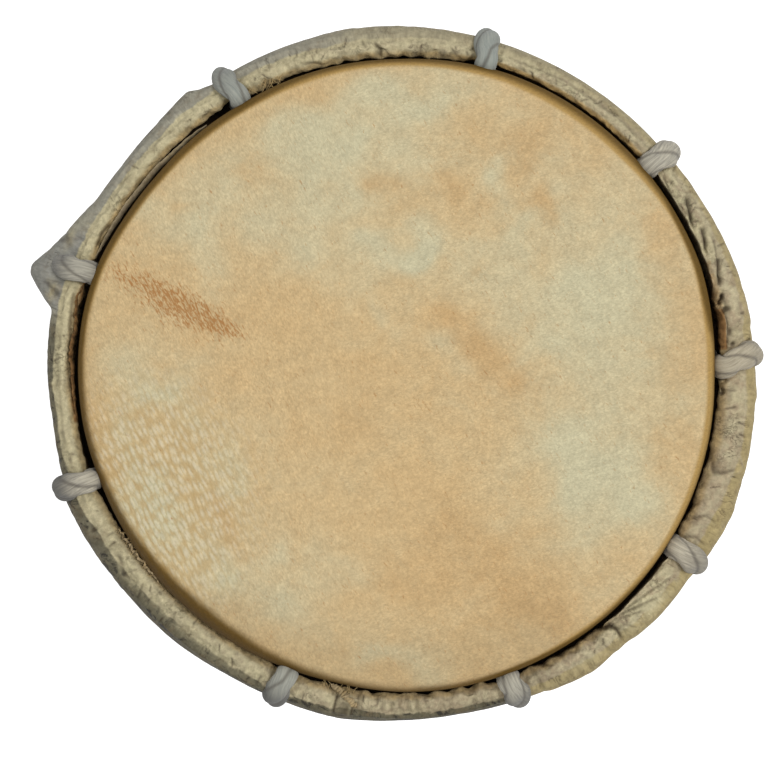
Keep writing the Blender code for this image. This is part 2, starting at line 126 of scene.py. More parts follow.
# Folds and tears of the upper lap: width and depth in mm, then angles and seen radii along them
CREASES = (
    (0.35, 0.8, ((37.1, 66.2), (34.5, 65.0), (31.3, 64.3))),
    (0.85, 2.1, ((32.0, 67.8), (29.8, 66.6), (27.0, 65.3))),
    (0.75, 1.9, ((26.2, 67.5), (24.0, 66.6), (21.8, 65.7))),
    (0.65, 1.6, ((20.4, 68.0), (18.4, 67.2), (16.6, 66.3))),
    (0.35, 0.5, ((24.0, 68.6), (20.8, 67.9), (18.9, 67.4))),
    (0.80, 1.2, ((17.0, 66.9), (15.6, 66.2))),
    (0.60, 2.0, ((14.4, 66.6), (13.4, 66.2), (12.8, 65.2))),
    (0.70, 1.2, ((11.8, 66.6), (11.0, 66.0))),
    (0.30, 1.0, ((12.0, 65.3), (10.5, 66.3), (7.5, 66.5), (4.6, 65.9))),
    (0.40, 0.8, ((5.3, 67.5), (5.0, 66.7))),
    (0.70, 2.0, ((0.2, 64.4), (-0.8, 65.4))),
    (0.45, 1.6, ((-2.2, 64.6), (-3.1, 65.2))),
    (0.50, 0.8, ((-15.0, 64.4), (-17.2, 66.0), (-16.6, 68.3), (-15.4, 70.4))),
    (0.40, 0.3, ((42.5, 67.9), (50.0, 67.8), (60.0, 67.7), (72.0, 67.6))),
    (0.50, 0.9, ((93.2, 63.8), (93.0, 65.2), (94.2, 66.8))),
    (0.40, 0.6, ((107.5, 65.3), (104.5, 64.3), (103.0, 63.7))),
    (0.30, 0.8, ((152.0, 65.0), (154.5, 65.6), (157.0, 65.4))),
    (0.80, 0.7, ((167.0, 69.2), (165.9, 71.2), (164.8, 73.4))),
    (0.70, 0.5, ((159.0, 70.2), (157.4, 71.6), (158.6, 73.0))),
    (0.35, 0.5, ((164.5, 66.6), (168.0, 66.6), (172.0, 66.0), (178.0, 66.1), (187.0, 65.3))),
    (0.40, 0.2, ((167.0, 68.4), (178.0, 68.2), (190.0, 68.1), (200.0, 67.8))),
    (0.40, 0.6, ((206.0, 68.4), (207.5, 67.6))),
    (0.35, 0.5, ((212.0, 66.2), (215.8, 67.5), (219.0, 66.6))),
    (0.30, 0.5, ((219.1, 65.6), (220.0, 67.3), (220.8, 68.7))),
    (1.70, 0.6, ((261.0, 66.0), (260.7, 67.8), (260.4, 69.6))),
    (0.40, 1.3, ((259.4, 64.6), (259.2, 66.8), (259.1, 69.2))),
    (0.35, 1.0, ((262.6, 66.2), (262.2, 67.4), (262.0, 69.2))),
    (0.55, 2.3, ((308.6, 64.4), (310.2, 65.4), (310.7, 67.2), (310.3, 69.6))),
    (0.35, 0.5, ((312.0, 65.2), (316.5, 68.2))),
    (0.40, 0.6, ((312.5, 64.8), (320.0, 68.6))),
    (0.35, 0.4, ((313.5, 64.7), (324.0, 68.0))),
    (0.30, 0.4, ((311.8, 66.5), (313.6, 69.5))),
    (0.40, 0.6, ((330.2, 64.8), (331.5, 67.5), (331.0, 70.4))),
    (0.35, 0.5, ((334.0, 64.8), (335.5, 67.6), (335.0, 70.5))),
)

# Hollows between the folds, darkened with painted shade: angle, seen radius, half width and height in mm,
# strength
DARK_SPOTS = (
    (13.7, 66.2, 0.55, 0.55, 0.97), (12.6, 65.6, 0.40, 0.60, 0.90), (11.4, 66.7, 0.70, 1.00, 0.72),
    (16.6, 66.7, 1.10, 0.75, 0.66), (7.4, 66.9, 0.90, 0.45, 0.60), (5.4, 67.3, 0.40, 0.60, 0.80),
    (-0.4, 64.4, 0.80, 1.00, 0.97), (-3.2, 64.8, 0.50, 0.60, 0.90), (261.0, 67.8, 1.10, 1.60, 0.55),
    (207.0, 68.2, 0.60, 0.60, 0.80), (28.2, 65.6, 0.80, 0.45, 0.50), (22.6, 65.8, 0.90, 0.40, 0.45),
)

# Where the lap's raw brown side shows: first and last angle, the seen radius it reaches, strength
RAW_SPANS = (
    (5.0, 11.0, 66.5, 1.0), (12.0, 20.0, 66.6, 0.5), (163.5, 188.0, 65.9, 0.8), (188.0, 200.0, 65.3, 0.5),
)

# Fuller parts of the upper lap: first and last angle, and how far they rise in mm
LOBES = (
    (344.5, 354.5, 0.6), (312.5, 338.0, 0.8), (296.0, 308.8, 1.0), (164.0, 172.0, 0.3),
    (251.5, 258.0, 0.5), (9.0, 37.0, 1.0),
)

# Pale spots of the upper lap, pale dry skin and painted light on the flap, the folds and the shaded inner
# side: angle, seen radius, half widths round and across it, strength
PALE_AND_LIT_SPOTS = (
    (166.6, 71.1, 1.3, 0.9, 0.9), (157.0, 71.2, 2.2, 0.8, 0.5), (354.5, 68.2, 3.0, 1.8, 0.8),
    (348.0, 68.0, 3.0, 1.2, 0.4), (216.0, 65.8, 14.0, 1.3, 1.0), (238.0, 65.7, 9.0, 1.3, 1.0),
    (62.0, 67.0, 10.0, 0.7, 0.7), (146.0, 66.2, 10.0, 0.7, 0.4), (28.0, 66.2, 9.0, 2.0, 1.3),
    (66.0, 67.2, 9.0, 1.3, 0.4), (318.0, 66.8, 6.0, 2.4, 1.5), (304.0, 67.4, 5.0, 1.6, 0.5),
    (9.0, 68.4, 5.0, 1.2, 0.5),
)

# Soft patches of the upper head in mm: middle, half width and height, lean, strength
PALE_PATCHES = (
    (45.0, 0.0, 24.0, 42.0, 0, 0.35), (0.0, 48.0, 42.0, 15.0, 0, 0.30),
    (-45.0, -25.0, 18.0, 22.0, 0, 0.33), (-42.0, 34.0, 13.0, 9.0, 30, 0.30),
    (-30.0, -40.0, 20.0, 10.0, -30, 0.25), (-47.0, 3.0, 12.0, 20.0, 0, 0.12),
    (42.4, 17.0, 11.0, 16.0, 0, 0.80), (40.4, -21.0, 10.0, 12.0, 0, 0.90),
    (29.4, -3.0, 8.0, 10.0, 0, 0.15), (-12.6, 49.0, 6.0, 6.0, 0, 0.75), (-13.6, 37.0, 7.0, 8.0, 0, 0.60),
    (-22.6, 47.0, 6.0, 8.0, 0, 0.5), (2.4, 26.0, 7.0, 4.0, 0, 0.80), (20.4, 38.0, 4.0, 4.0, 0, 0.5),
    (24.4, 28.0, 9.0, 4.0, 25, 0.5), (0.4, 53.0, 8.0, 6.0, 0, 0.45), (-49.6, -27.0, 6.0, 7.0, 0, 0.7),
    (-34.6, -18.0, 4.5, 4.5, 0, 0.45), (-55.6, -15.0, 4.0, 6.0, 0, 0.5),
    (-31.6, -43.0, 9.0, 4.5, -30, 0.5), (-25.6, -34.0, 5.0, 5.0, 0, 0.45),
    (-47.6, -4.0, 4.0, 4.0, 0, 0.35), (-1.6, 10.0, 2.0, 5.0, 30, 0.35), (-44.0, 31.0, 6.0, 5.0, 0, 0.2),
    (20.0, 18.0, 9.0, 7.0, 0, 0.50), (8.0, 8.0, 5.0, 5.0, 0, 0.40), (28.0, 9.0, 7.0, 6.0, 0, 0.40),
    (4.0, 41.0, 8.0, 4.5, 0, 0.45), (-1.0, 24.0, 13.0, 4.5, 0, 0.35), (-20.0, 27.0, 8.0, 7.0, 0, 0.40),
    (28.0, 40.0, 7.0, 4.5, 0, 0.30), (14.0, 56.0, 8.0, 4.0, -15, 0.40),
    (-14.0, -39.0, 11.0, 6.0, 0, 0.35), (-9.0, 17.0, 6.0, 5.0, 0, 0.35), (0.0, -57.0, 9.0, 4.0, 0, 0.55),
    (-50.0, -1.0, 8.0, 7.0, 0, 0.45), (-32.0, 32.0, 14.0, 12.0, 0, 0.35), (9.0, 8.0, 4.0, 4.0, 0, 0.3),
    (4.0, 57.0, 10.0, 4.0, 0, 0.40), (2.4, 26.0, 5.0, 3.5, 0, 0.45),
)
TAN_PATCHES = (
    (16.4, 5.0, 3.5, 8.5, 40, 0.8), (-2.6, 36.0, 5.0, 4.0, 0, 0.6), (10.4, 37.0, 4.0, 5.0, 0, 0.45),
    (28.4, 35.0, 3.0, 3.0, 0, 0.6), (18.4, 31.0, 3.0, 4.0, 0, 0.5), (24.4, 45.0, 10.0, 4.0, 0, 0.45),
    (12.4, -35.0, 14.0, 9.0, 0, 0.55), (24.4, -45.0, 8.0, 6.0, 0, 0.5),
    (-34.6, -29.0, 3.0, 8.0, 28, 0.45), (0.4, -45.0, 5.0, 5.0, 0, 0.35), (1.4, 11.0, 3.0, 4.0, 0, 0.30),
    (13.4, 23.0, 2.5, 2.5, 0, 0.4), (-29.6, 41.0, 3.0, 3.0, 0, 0.35), (57.0, -4.0, 5.0, 14.0, 0, 0.40),
    (-40.6, 31.0, 3.0, 3.0, 0, 0.35), (-7.0, -8.0, 16.0, 10.0, 0, 0.3), (52.0, 26.0, 5.0, 12.0, 10, 0.45),
    (24.0, -4.0, 10.0, 7.0, 0, 0.30), (34.0, -48.0, 8.0, 5.0, 0, 0.35), (-44.0, 12.0, 7.0, 6.0, 0, 0.25),
)
STAIN_PATCHES = (
    (-55.5, 20.2, 3.0, 2.0, -24, 0.45), (-50.0, 18.0, 6.0, 2.6, -24, 0.80),
    (-43.0, 13.2, 7.5, 3.8, -24, 1.0), (-36.0, 10.5, 5.0, 2.3, -26, 0.75),
    (-32.5, 8.2, 2.8, 1.3, -28, 0.45),
)
STREAK_MIDDLE = (-50.0, -26.0)
STREAK_REACH = (26.0, 30.0)
STREAK_WAY = -63.0

# Faceting: counts of steps and sides, and the angles in degrees up to which edges look smooth
HEAD_STEPS = 320
LAP_STEPS = {UPPER: 1600, LOWER: 600}
LAP_SIDES = {UPPER: 48, LOWER: 36}
ROPE_SIDES = 30
STRAP_SIDES = 20
SOFT_EDGES, STRIP_EDGES, STRAP_EDGES, TURNED_EDGES = 75.0, 60.0, 50.0, 35.0


def scene_settings():
    """The settings that the panel shows."""
    return bpy.context.scene.damaru


def colour_setting(name, description, default):
    """A colour that the panel shows."""
    return bpy.props.FloatVectorProperty(
        name=name, description=description, default=default, subtype="COLOR", size=3, min=0.0, max=1.0)


def size_setting(name, description, default):
    """A length in metres that the panel shows."""
    return bpy.props.FloatProperty(
        name=name, description=description, default=default, unit="LENGTH", subtype="DISTANCE", min=0.0)


class DamaruSkinSettings(bpy.types.PropertyGroup):
    """Sizes and colours of the heads and their laps."""
    thickness: size_setting("Thickness", "Thickness of the goat skin", 0.0008)
    shoulder: size_setting("Shoulder", "Radius over the shell's edge", 0.0034)
    tan: colour_setting("Tan", "Main colour of the head", (0.585, 0.412, 0.205))
    pale: colour_setting("Pale", "Cream patches of the head", (0.558, 0.508, 0.326))
    dark: colour_setting("Dark tan", "Darker patches of the head", (0.520, 0.340, 0.155))
    stain: colour_setting("Stain", "Brown hair stain at the left", (0.365, 0.170, 0.050))
    # The worn band: its own tan at its start, running into painted shade at the head's edge
    shoulder_light: colour_setting("Shoulder, light", "Start of the worn band", (0.405, 0.255, 0.080))
    shoulder_dark: colour_setting("Shoulder, dark", "End of the worn band", (0.098, 0.050, 0.002))
    lap_bright: colour_setting("Lap, bright", "Crest of the lap", (0.450, 0.390, 0.255))
    lap_pale: colour_setting("Lap, pale", "Driest parts of the crest", (0.560, 0.495, 0.305))
    lap_grey: colour_setting("Lap, grey", "Weathered outer side of the lap", (0.350, 0.325, 0.240))
    lap_olive: colour_setting("Lap, olive", "Outer side at the right", (0.415, 0.330, 0.160))
    lap_rosy: colour_setting("Lap, rosy", "Crest at the right", (0.390, 0.305, 0.195))
    # Colour of the painted shade on the lap's outer side at the left and below
    lap_outer_shade: colour_setting("Lap, dull", "Outer side at the left and below", (0.125, 0.112, 0.072))
    lap_ashen: colour_setting("Lap, ashen", "Grey flap at the left", (0.265, 0.262, 0.235))
    lap_inner: colour_setting("Lap, inner", "Warm inner side of the lap", (0.500, 0.320, 0.110))
    lap_raw: colour_setting("Lap, raw", "Torn parts of the lap", (0.300, 0.155, 0.055))
    # For dirt in folds and cracks, and for painted shade in the lap's folds and hollows and where the head
    # drops into the gap
    dirt_and_shade: colour_setting("Creases", "Dirt in folds and cracks", (0.035, 0.022, 0.012))


class DamaruRopeSettings(bpy.types.PropertyGroup):
    """Sizes and colours of the lacing and the waist cords."""
    width: size_setting("Rope width", "Width of the flattened lacing", 0.0049)
    thickness: size_setting("Rope thickness", "Thickness of the lacing", 0.0027)
    lay: size_setting("Rope lay", "Length of one turn of a strand", 0.022)
    cord: size_setting("Waist cord", "Diameter of the waist cord", 0.0030)
    cotton: colour_setting("Cotton", "Clean strands", (0.580, 0.530, 0.415))
    soiled: colour_setting("Soiled cotton", "Grey and worn strands", (0.255, 0.232, 0.188))


class DamaruWoodSettings(bpy.types.PropertyGroup):
    """Sizes and colours of the shell, the beads and the hoops."""
    neck_radius: size_setting("Neck radius", "Radius of the shell's neck", 0.024)
    neck_length: size_setting("Neck length", "Straight length of the neck", 0.042)
    bore_radius: size_setting("Bore radius", "Radius of the hole between the bowls", 0.013)
    bore_length: size_setting("Bore length", "Straight length of that hole", 0.016)
    rim_wall: size_setting("Rim wall", "Wall of the shell at its rim", 0.007)
    bead_radius: size_setting("Bead radius", "Radius of a striker's bead", 0.0065)
    shell_light: colour_setting("Shell, light", "Early wood of the shell", (0.265, 0.110, 0.042))
    shell_dark: colour_setting("Shell, dark", "Late wood of the shell", (0.150, 0.058, 0.024))
    bead_light: colour_setting("Bead, light", "Early wood of the beads", (0.200, 0.080, 0.030))
    bead_dark: colour_setting("Bead, dark", "Late wood of the beads", (0.075, 0.027, 0.012))
    cane: colour_setting("Cane", "Split cane of the hoops", (0.500, 0.330, 0.140))


class DamaruStrikerSettings(bpy.types.PropertyGroup):
    """Sizes and colours of the strikers."""
    width: size_setting("Thong width", "Width of a rawhide thong", 0.0050)
    thickness: size_setting("Thong thickness", "Thickness of a thong", 0.0012)
    tip_width: size_setting("Tip width", "Width where the thong enters its bead", 0.0032)
    rawhide: colour_setting("Rawhide", "Waxed hide", (0.300, 0.160, 0.070))
    edge: colour_setting("Cut edge", "Paler cut edges", (0.440, 0.290, 0.150))


class DamaruStageSettings(bpy.types.PropertyGroup):
    """Camera and light."""
    eye: size_setting("Camera height", "Height of the camera over the upper head", 0.235)
    key_power: bpy.props.FloatProperty(
        name="Key", description="Power of the large lamp at the right", default=11.0, unit="POWER", min=0.0)
    fill_power: bpy.props.FloatProperty(
        name="Fill", description="Power of the lamp overhead", default=3.5, unit="POWER", min=0.0)
    sky: bpy.props.FloatProperty(
        name="Sky", description="Strength of the even light", default=0.44, subtype="FACTOR",
        min=0.0, max=1.0)


class DamaruSettings(bpy.types.PropertyGroup):
    """All settings of the damaru."""
    skin: bpy.props.PointerProperty(type=DamaruSkinSettings, name="Skin", description="Heads and laps")
    rope: bpy.props.PointerProperty(type=DamaruRopeSettings, name="Rope", description="Lacing and waist")
    wood: bpy.props.PointerProperty(type=DamaruWoodSettings, name="Wood", description="Shell and beads")
    striker: bpy.props.PointerProperty(type=DamaruStrikerSettings, name="Strikers", description="Thongs")
    stage: bpy.props.PointerProperty(type=DamaruStageSettings, name="Stage", description="Camera and light")


# Mesh helpers

def level(end, depth):
    """Height in metres of a depth in mm below one head's face."""
    return HEIGHT - depth * MM if end == UPPER else depth * MM


def eased(values):
    """Smooth step from 0 to 1."""
    share = np.clip(values, 0.0, 1.0)
    return share * share * (3.0 - 2.0 * share)


def wrapped(degrees):
    """The same angles from -180 to 180 degrees."""
    return (degrees + 180.0) % 360.0 - 180.0


def span(angles, first, last, fade):
    """1 between two angles in degrees, fading to 0 outside them."""
    half = (last - first) / 2
    away = np.abs(wrapped(angles - (first + half)))
    return 1.0 - eased((away - half) / fade)


def polar(radius, turn, height):
    """Points at radii, turns in radians and heights."""
    return np.stack(np.broadcast_arrays(radius * np.cos(turn), radius * np.sin(turn), height), axis=-1)


def round_way(points):
    """The way round the drum at points."""
    return np.stack((-points[:, 1], points[:, 0], 0.0 * points[:, 0]), axis=1)


def round_drum(angles, spots, values, ease=1.0):
    """Values at angles round the drum, read from a closed outline and eased over some degrees."""
    step = 0.25
    places = np.arange(0.0, 360.0, step)
    levels = np.interp(places, spots, values, period=360.0)
    reach = int(ease / step)
    window = np.hanning(2 * reach + 3)
    closed = np.concatenate((levels[-reach - 1:], levels, levels[:reach + 1]))
    smooth = np.convolve(closed, window / window.sum(), mode="valid")
    return np.interp(angles, places, smooth, period=360.0)


def ripple(angles, across, seed, fewest, most, count=24):
    """Irregular waves round the drum from a fixed seed, mostly between -1 and 1."""
    draw = random.Random(seed)
    total = np.zeros_like(angles)
    for _ in range(count):
        waves = draw.randint(fewest, most)
        lean = draw.uniform(-4.0, 4.0)
        phase = draw.uniform(0.0, math.tau)
        total += np.sin(np.radians(angles) * waves + across * lean + phase)
    return total / math.sqrt(count)


def spots_of(item):
    """A mesh's points as an array."""
    flat = np.empty(len(item.data.vertices) * 3)
    item.data.vertices.foreach_get("co", flat)
    return flat.reshape(-1, 3)


def move_spots(item, spots):
    """Put a mesh's points where the array says."""
    item.data.vertices.foreach_set("co", spots.ravel())
    item.data.update()


def paint(item, name, values):
    """Keep a value for each point of a mesh, for its material to read."""
    layer = item.data.attributes.new(name, "FLOAT", "POINT")
    layer.data.foreach_set("value", values.astype(np.float32))


def pick(item):
    """Select one piece alone."""
    bpy.ops.object.select_all(action="DESELECT")
    item.select_set(True)
    bpy.context.view_layer.objects.active = item


def whole_mesh(step, **settings):
    """Take one edit step with all of the active mesh."""
    bpy.ops.object.mode_set(mode="EDIT")
    bpy.ops.mesh.select_all(action="SELECT")
    step(**settings)
    bpy.ops.object.mode_set(mode="OBJECT")


def turned(name, outline, steps, angle=360.0):
    """Draw an outline of radii and heights point by point, and spin it round the drum's axis."""
    spots = [Vector(polar(radius, math.radians(angle), height)) for radius, height in outline]
    bpy.ops.object.select_all(action="DESELECT")
    bpy.ops.mesh.primitive_plane_add(size=MM, enter_editmode=True, location=(0.0, 0.0, 0.0))
    bpy.ops.mesh.merge(type="CENTER")
    bpy.ops.transform.translate(value=spots[0])
    for before, after in zip(spots, spots[1:]):
        bpy.ops.mesh.extrude_region_move(TRANSFORM_OT_translate={"value": after - before})
    bpy.ops.mesh.select_all(action="SELECT")
    bpy.ops.mesh.spin(steps=steps, angle=math.radians(angle), center=(0.0, 0.0, 0.0), axis=(0.0, 0.0, 1.0))
    whole_mesh(bpy.ops.mesh.remove_doubles, threshold=WELD)
    whole_mesh(bpy.ops.mesh.normals_make_consistent, inside=False)
    item = bpy.context.object
    item.name = name
    item.data.name = name
    return item


def finish_piece(item, body, nodes, material, angle):
    """Shade a piece, give it its finish, and let it ride on its body for its nodes."""
    item.data.materials.clear()
    item.data.materials.append(material)
    pick(item)
    bpy.ops.object.shade_smooth_by_angle(angle=math.radians(angle))
    if body is not None:
        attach(item, body)
    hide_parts(*nodes)
    return item


def smoothed(corners, longest, rounds=3):
    """Points along straight runs, with their corners cut off round by round."""
    points = [np.array(corners[0], float)]
    for corner in corners[1:]:
        corner = np.array(corner, float)
        before = points[-1]
        count = max(1, int(math.ceil(np.linalg.norm((corner - before)[:3]) / longest)))
        for step in range(1, count + 1):
            points.append(before + (corner - before) * step / count)
    points = np.array(points)
    for _ in range(rounds):
        near = points[:-1] * 0.75 + points[1:] * 0.25
        far = points[:-1] * 0.25 + points[1:] * 0.75
        middle = np.stack((near, far), axis=1).reshape(-1, points.shape[1])
        points = np.concatenate((points[:1], middle, points[-1:]))
    return points


def respaced(points, spacing):
    """The same line with even steps."""
    steps = np.linalg.norm(np.diff(points[:, :3], axis=0), axis=1)
    lengths = np.concatenate(([0.0], np.cumsum(steps)))
    count = max(2, int(round(lengths[-1] / spacing)) + 1)
    places = np.linspace(0.0, lengths[-1], count)
    return np.stack([np.interp(places, lengths, column) for column in points.T], axis=1)


def unit(vectors):
    """Vectors of length 1."""
    return vectors / np.maximum(np.linalg.norm(vectors, axis=1, keepdims=True), 1e-12)


def swept(name, centre, hint, width, thickness, sides, lay=1.0, relief=0.0, closed=False):
    """Sweep a flattened, twisted section along a line, with lengths and turns in its UV map.

    The hint is the way of the section's width, one for the line or one for each of its points.
    """
    if closed:
        travel = unit(np.roll(centre, -1, axis=0) - np.roll(centre, 1, axis=0))
    else:
        travel = unit(np.gradient(centre, axis=0))
    broad = unit(hint - travel * np.sum(hint * travel, axis=1, keepdims=True))
    thin = np.cross(travel, broad)
    steps = np.linalg.norm(np.diff(centre, axis=0), axis=1)
    run = np.concatenate(([0.0], np.cumsum(steps)))
    turn = np.arange(sides) * math.tau / sides
    twist = math.tau * run / lay
    swell = 1.0 + relief * (2.0 * np.abs(np.cos(STRANDS / 2 * (turn[None, :] - twist[:, None]))) - 1.0)
    across = np.cos(turn)[None, :] * swell * np.reshape(width, (-1, 1)) / 2
    through = np.sin(turn)[None, :] * swell * np.reshape(thickness, (-1, 1)) / 2
    spots = centre[:, None, :] + broad[:, None, :] * across[..., None]
    spots = spots + thin[:, None, :] * through[..., None]
    rings = len(centre)
    faces, places = [], []
    for ring in range(rings if closed else rings - 1):
        ahead = (ring + 1) % rings
        end_run = run[ring + 1] if ring + 1 < rings else run[ring] + steps[0]
        for side in range(sides):
            beside = (side + 1) % sides
            here, there = ring * sides, ahead * sides
            faces.append((here + side, here + beside, there + beside, there + side))
            low, high = side / sides, (side + 1) / sides
            places += [(run[ring], low), (run[ring], high), (end_run, high), (end_run, low)]
    if not closed:
        faces.append(tuple(reversed(range(sides))))
        faces.append(tuple(range((rings - 1) * sides, rings * sides)))
        places += [(run[0], side / sides) for side in range(sides)]
        places += [(run[-1], side / sides) for side in range(sides)]
    mesh = bpy.data.meshes.new(name)
    mesh.from_pydata(spots.reshape(-1, 3), [], faces)
    layer = mesh.uv_layers.new(name="lay")
    layer.data.foreach_set("uv", np.array(places, np.float32).ravel())
    item = bpy.data.objects.new(name, mesh)
    bpy.context.scene.collection.objects.link(item)
    pick(item)
    whole_mesh(bpy.ops.mesh.normals_make_consistent, inside=False)
    return item


# Material helpers

def connect(tree, value, socket):
    """Link another socket, or set a plain value."""
    if isinstance(value, bpy.types.NodeSocket):
        tree.links.new(value, socket)
    else:
        socket.default_value = value


def put(tree, kind, inputs=None, **settings):
    """Add a node with its settings and inputs."""
    node = tree.nodes.new(kind)
    for name, value in settings.items():
        setattr(node, name, value)
    for name, value in (inputs or {}).items():
        connect(tree, value, node.inputs[name])
    return node


def solid(colour):
    """A colour with full alpha."""
    return (*colour, 1.0)


def mixed(tree, share, first, second, mode="MIX"):
    """Mix two colours."""
    node = put(tree, "ShaderNodeMix", data_type="RGBA", blend_type=mode)
    connect(tree, share, node.inputs[0])
    connect(tree, first, node.inputs[6])
    connect(tree, second, node.inputs[7])
    return node.outputs[2]


def sums(tree, operation, first, second=0.0):
    """One step of arithmetic."""
    node = put(tree, "ShaderNodeMath", operation=operation)
    connect(tree, first, node.inputs[0])
    connect(tree, second, node.inputs[1])
    return node.outputs[0]


def times(tree, first, second):
    """A product."""
    return sums(tree, "MULTIPLY", first, second)


def added(tree, value, extra, share):
    """A value with a share of another added to it."""
    return sums(tree, "ADD", value, times(tree, extra, share))


def centred(tree, noise):
    """A noise moved down to lie about 0."""
    return sums(tree, "SUBTRACT", noise, 0.5)


def tinted(tree, colour, target, share, strength=1.0):
    """A colour drawn towards a plain one."""
    return mixed(tree, times(tree, share, strength), colour, solid(target))


def ranged(tree, value, low, high, to_low=0.0, to_high=1.0):
    """Ease a value from one range to another."""
    node = put(
        tree, "ShaderNodeMapRange", interpolation_type="SMOOTHSTEP",
        inputs={"Value": value, "From Min": low, "From Max": high, "To Min": to_low, "To Max": to_high})
    return node.outputs["Result"]


def clouds(tree, vector, scale, detail=3.0, roughness=0.55, distortion=0.0):
    """Noise of a scale."""
    node = put(tree, "ShaderNodeTexNoise", {
        "Vector": vector, "Scale": scale, "Detail": detail, "Roughness": roughness, "Distortion": distortion})
    return node.outputs["Fac"]


def stretched(tree, vector, way, length, spacing):
    """Coordinates for strokes that run one way in the XY plane, with a length and a spacing."""
    turn = put(tree, "ShaderNodeMapping", {"Vector": vector, "Rotation": (0.0, 0.0, math.radians(-way))})
    return scaled(tree, turn.outputs[0], (1.0 / length, 1.0 / spacing, 1.0 / length))


def scaled(tree, vector, scale):
    """Coordinates scaled along each axis."""
    return put(tree, "ShaderNodeMapping", {"Vector": vector, "Scale": scale}).outputs[0]


def shaded(tree, colour, tone, low, high, darkest, brightest):
    """A colour made darker and brighter by a tone."""
    light = ranged(tree, tone, low, high, darkest, brightest)
    grey = put(tree, "ShaderNodeCombineXYZ", {"X": light, "Y": light, "Z": light})
    return mixed(tree, 1.0, colour, grey.outputs[0], "MULTIPLY")


def painted(tree, name):
    """A value kept on the mesh."""
    return put(tree, "ShaderNodeAttribute", attribute_name=name).outputs["Fac"]


def object_place(tree):
    """Object coordinates."""
    return put(tree, "ShaderNodeTexCoord").outputs["Object"]


def new_group(name, inputs, outputs):
    """A node group with named sockets, its tree and its two end nodes."""
    tree = bpy.data.node_groups.new(name, "ShaderNodeTree")
    for label, kind in inputs:
        tree.interface.new_socket(name=label, in_out="INPUT", socket_type=kind)
    for label, kind in outputs:
        tree.interface.new_socket(name=label, in_out="OUTPUT", socket_type=kind)
    return tree, put(tree, "NodeGroupInput").outputs, put(tree, "NodeGroupOutput").inputs


def placed(tree, group, inputs):
    """A node group in a material, with its own values."""
    return put(tree, "ShaderNodeGroup", inputs, node_tree=bpy.data.node_groups[group]).outputs


def new_material(name, roughness, gloss=0.5):
    """A material with its tree and its shader."""
    material = bpy.data.materials.new(name)
    material.use_nodes = True
    shader = material.node_tree.nodes["Principled BSDF"]
    shader.inputs["Roughness"].default_value = roughness
    shader.inputs["Specular IOR Level"].default_value = gloss
    return material, material.node_tree, shader


def surface(tree, shader, colour, height, distance, strength):
    """Give a shader its colour and its relief."""
    tree.links.new(colour, shader.inputs["Base Color"])
    bump = put(tree, "ShaderNodeBump", {"Height": height, "Distance": distance, "Strength": strength})
    tree.links.new(bump.outputs["Normal"], shader.inputs["Normal"])


VECTOR = "NodeSocketVector"
NUMBER = "NodeSocketFloat"


def build_hide_grain():
    """Pores and fine wrinkles of a hide."""
    tree, given, result = new_group(
        "Hide grain", (("Vector", VECTOR), ("Scale", NUMBER)), (("Height", NUMBER), ("Tone", NUMBER)))
    place, scale = given["Vector"], given["Scale"]
    fine = clouds(tree, place, scale, 4.0, 0.6)
    pores = put(tree, "ShaderNodeTexVoronoi", {
        "Vector": place, "Scale": times(tree, scale, 0.8)}, feature="SMOOTH_F1")
    wide = clouds(tree, place, times(tree, scale, 0.22), 3.0, 0.6)
    connect(tree, added(tree, fine, pores.outputs["Distance"], 0.5), result["Height"])
    connect(tree, added(tree, times(tree, fine, 0.6), wide, 0.4), result["Tone"])


def build_grime():
    """Uneven dirt, as a mask."""
    tree, given, result = new_group(
        "Grime", (("Vector", VECTOR), ("Scale", NUMBER), ("Amount", NUMBER)), (("Mask", NUMBER),))
    place, scale = given["Vector"], given["Scale"]
    wide = clouds(tree, place, scale, 5.0, 0.62, 0.4)
    fine = clouds(tree, place, times(tree, scale, 6.0), 4.0, 0.6)
    both = added(tree, times(tree, wide, 0.7), fine, 0.3)
    low = added(tree, 0.74, given["Amount"], -0.5)
    connect(tree, ranged(tree, both, low, sums(tree, "ADD", low, 0.28)), result["Mask"])


def build_yarn_lay():
    """Twisted strands and their fibres, from lengths along a cord and turns round it."""
    tree, given, result = new_group(
        "Yarn lay", (("Vector", VECTOR), ("Strands", NUMBER), ("Lay", NUMBER)),
        (("Height", NUMBER), ("Tone", NUMBER), ("Groove_shade", NUMBER)))
    parts = put(tree, "ShaderNodeSeparateXYZ", {"Vector": given["Vector"]}).outputs
    travel = sums(tree, "DIVIDE", parts["X"], given["Lay"])
    twist = times(tree, sums(tree, "SUBTRACT", parts["Y"], travel), given["Strands"])
    bulge = sums(tree, "ABSOLUTE", sums(tree, "COSINE", times(tree, twist, math.pi)))
    drift = added(tree, parts["Y"], travel, 0.3)
    fibre_place = put(tree, "ShaderNodeCombineXYZ", {
        "X": times(tree, parts["X"], 320.0), "Y": times(tree, drift, 34.0)})
    fibres = clouds(tree, fibre_place.outputs[0], 1.0, 4.0, 0.65, 0.6)
    connect(tree, added(tree, fibres, bulge, 0.5), result["Height"])
    connect(tree, fibres, result["Tone"])
    # The grooves between the strands, for painted shade
    connect(tree, ranged(tree, bulge, 0.0, 0.5, 1.0, 0.0), result["Groove_shade"])


def build_wood_grain():
    """Grain that runs along Z, in bands and fine pores."""
    tree, given, result = new_group(
        "Wood grain", (("Vector", VECTOR), ("Scale", NUMBER)), (("Tone", NUMBER), ("Height", NUMBER)))
    scale = given["Scale"]
    drawn = scaled(tree, given["Vector"], (1.0, 1.0, 0.16))
    bands = put(tree, "ShaderNodeTexWave", {
        "Vector": drawn, "Scale": times(tree, scale, 1.5), "Distortion": 7.0, "Detail": 3.0},
        wave_type="RINGS", rings_direction="Y")
    pores = clouds(tree, drawn, times(tree, scale, 22.0), 3.0, 0.7)
    connect(tree, added(tree, times(tree, bands.outputs["Fac"], 0.6), pores, 0.5), result["Tone"])
    connect(tree, pores, result["Height"])


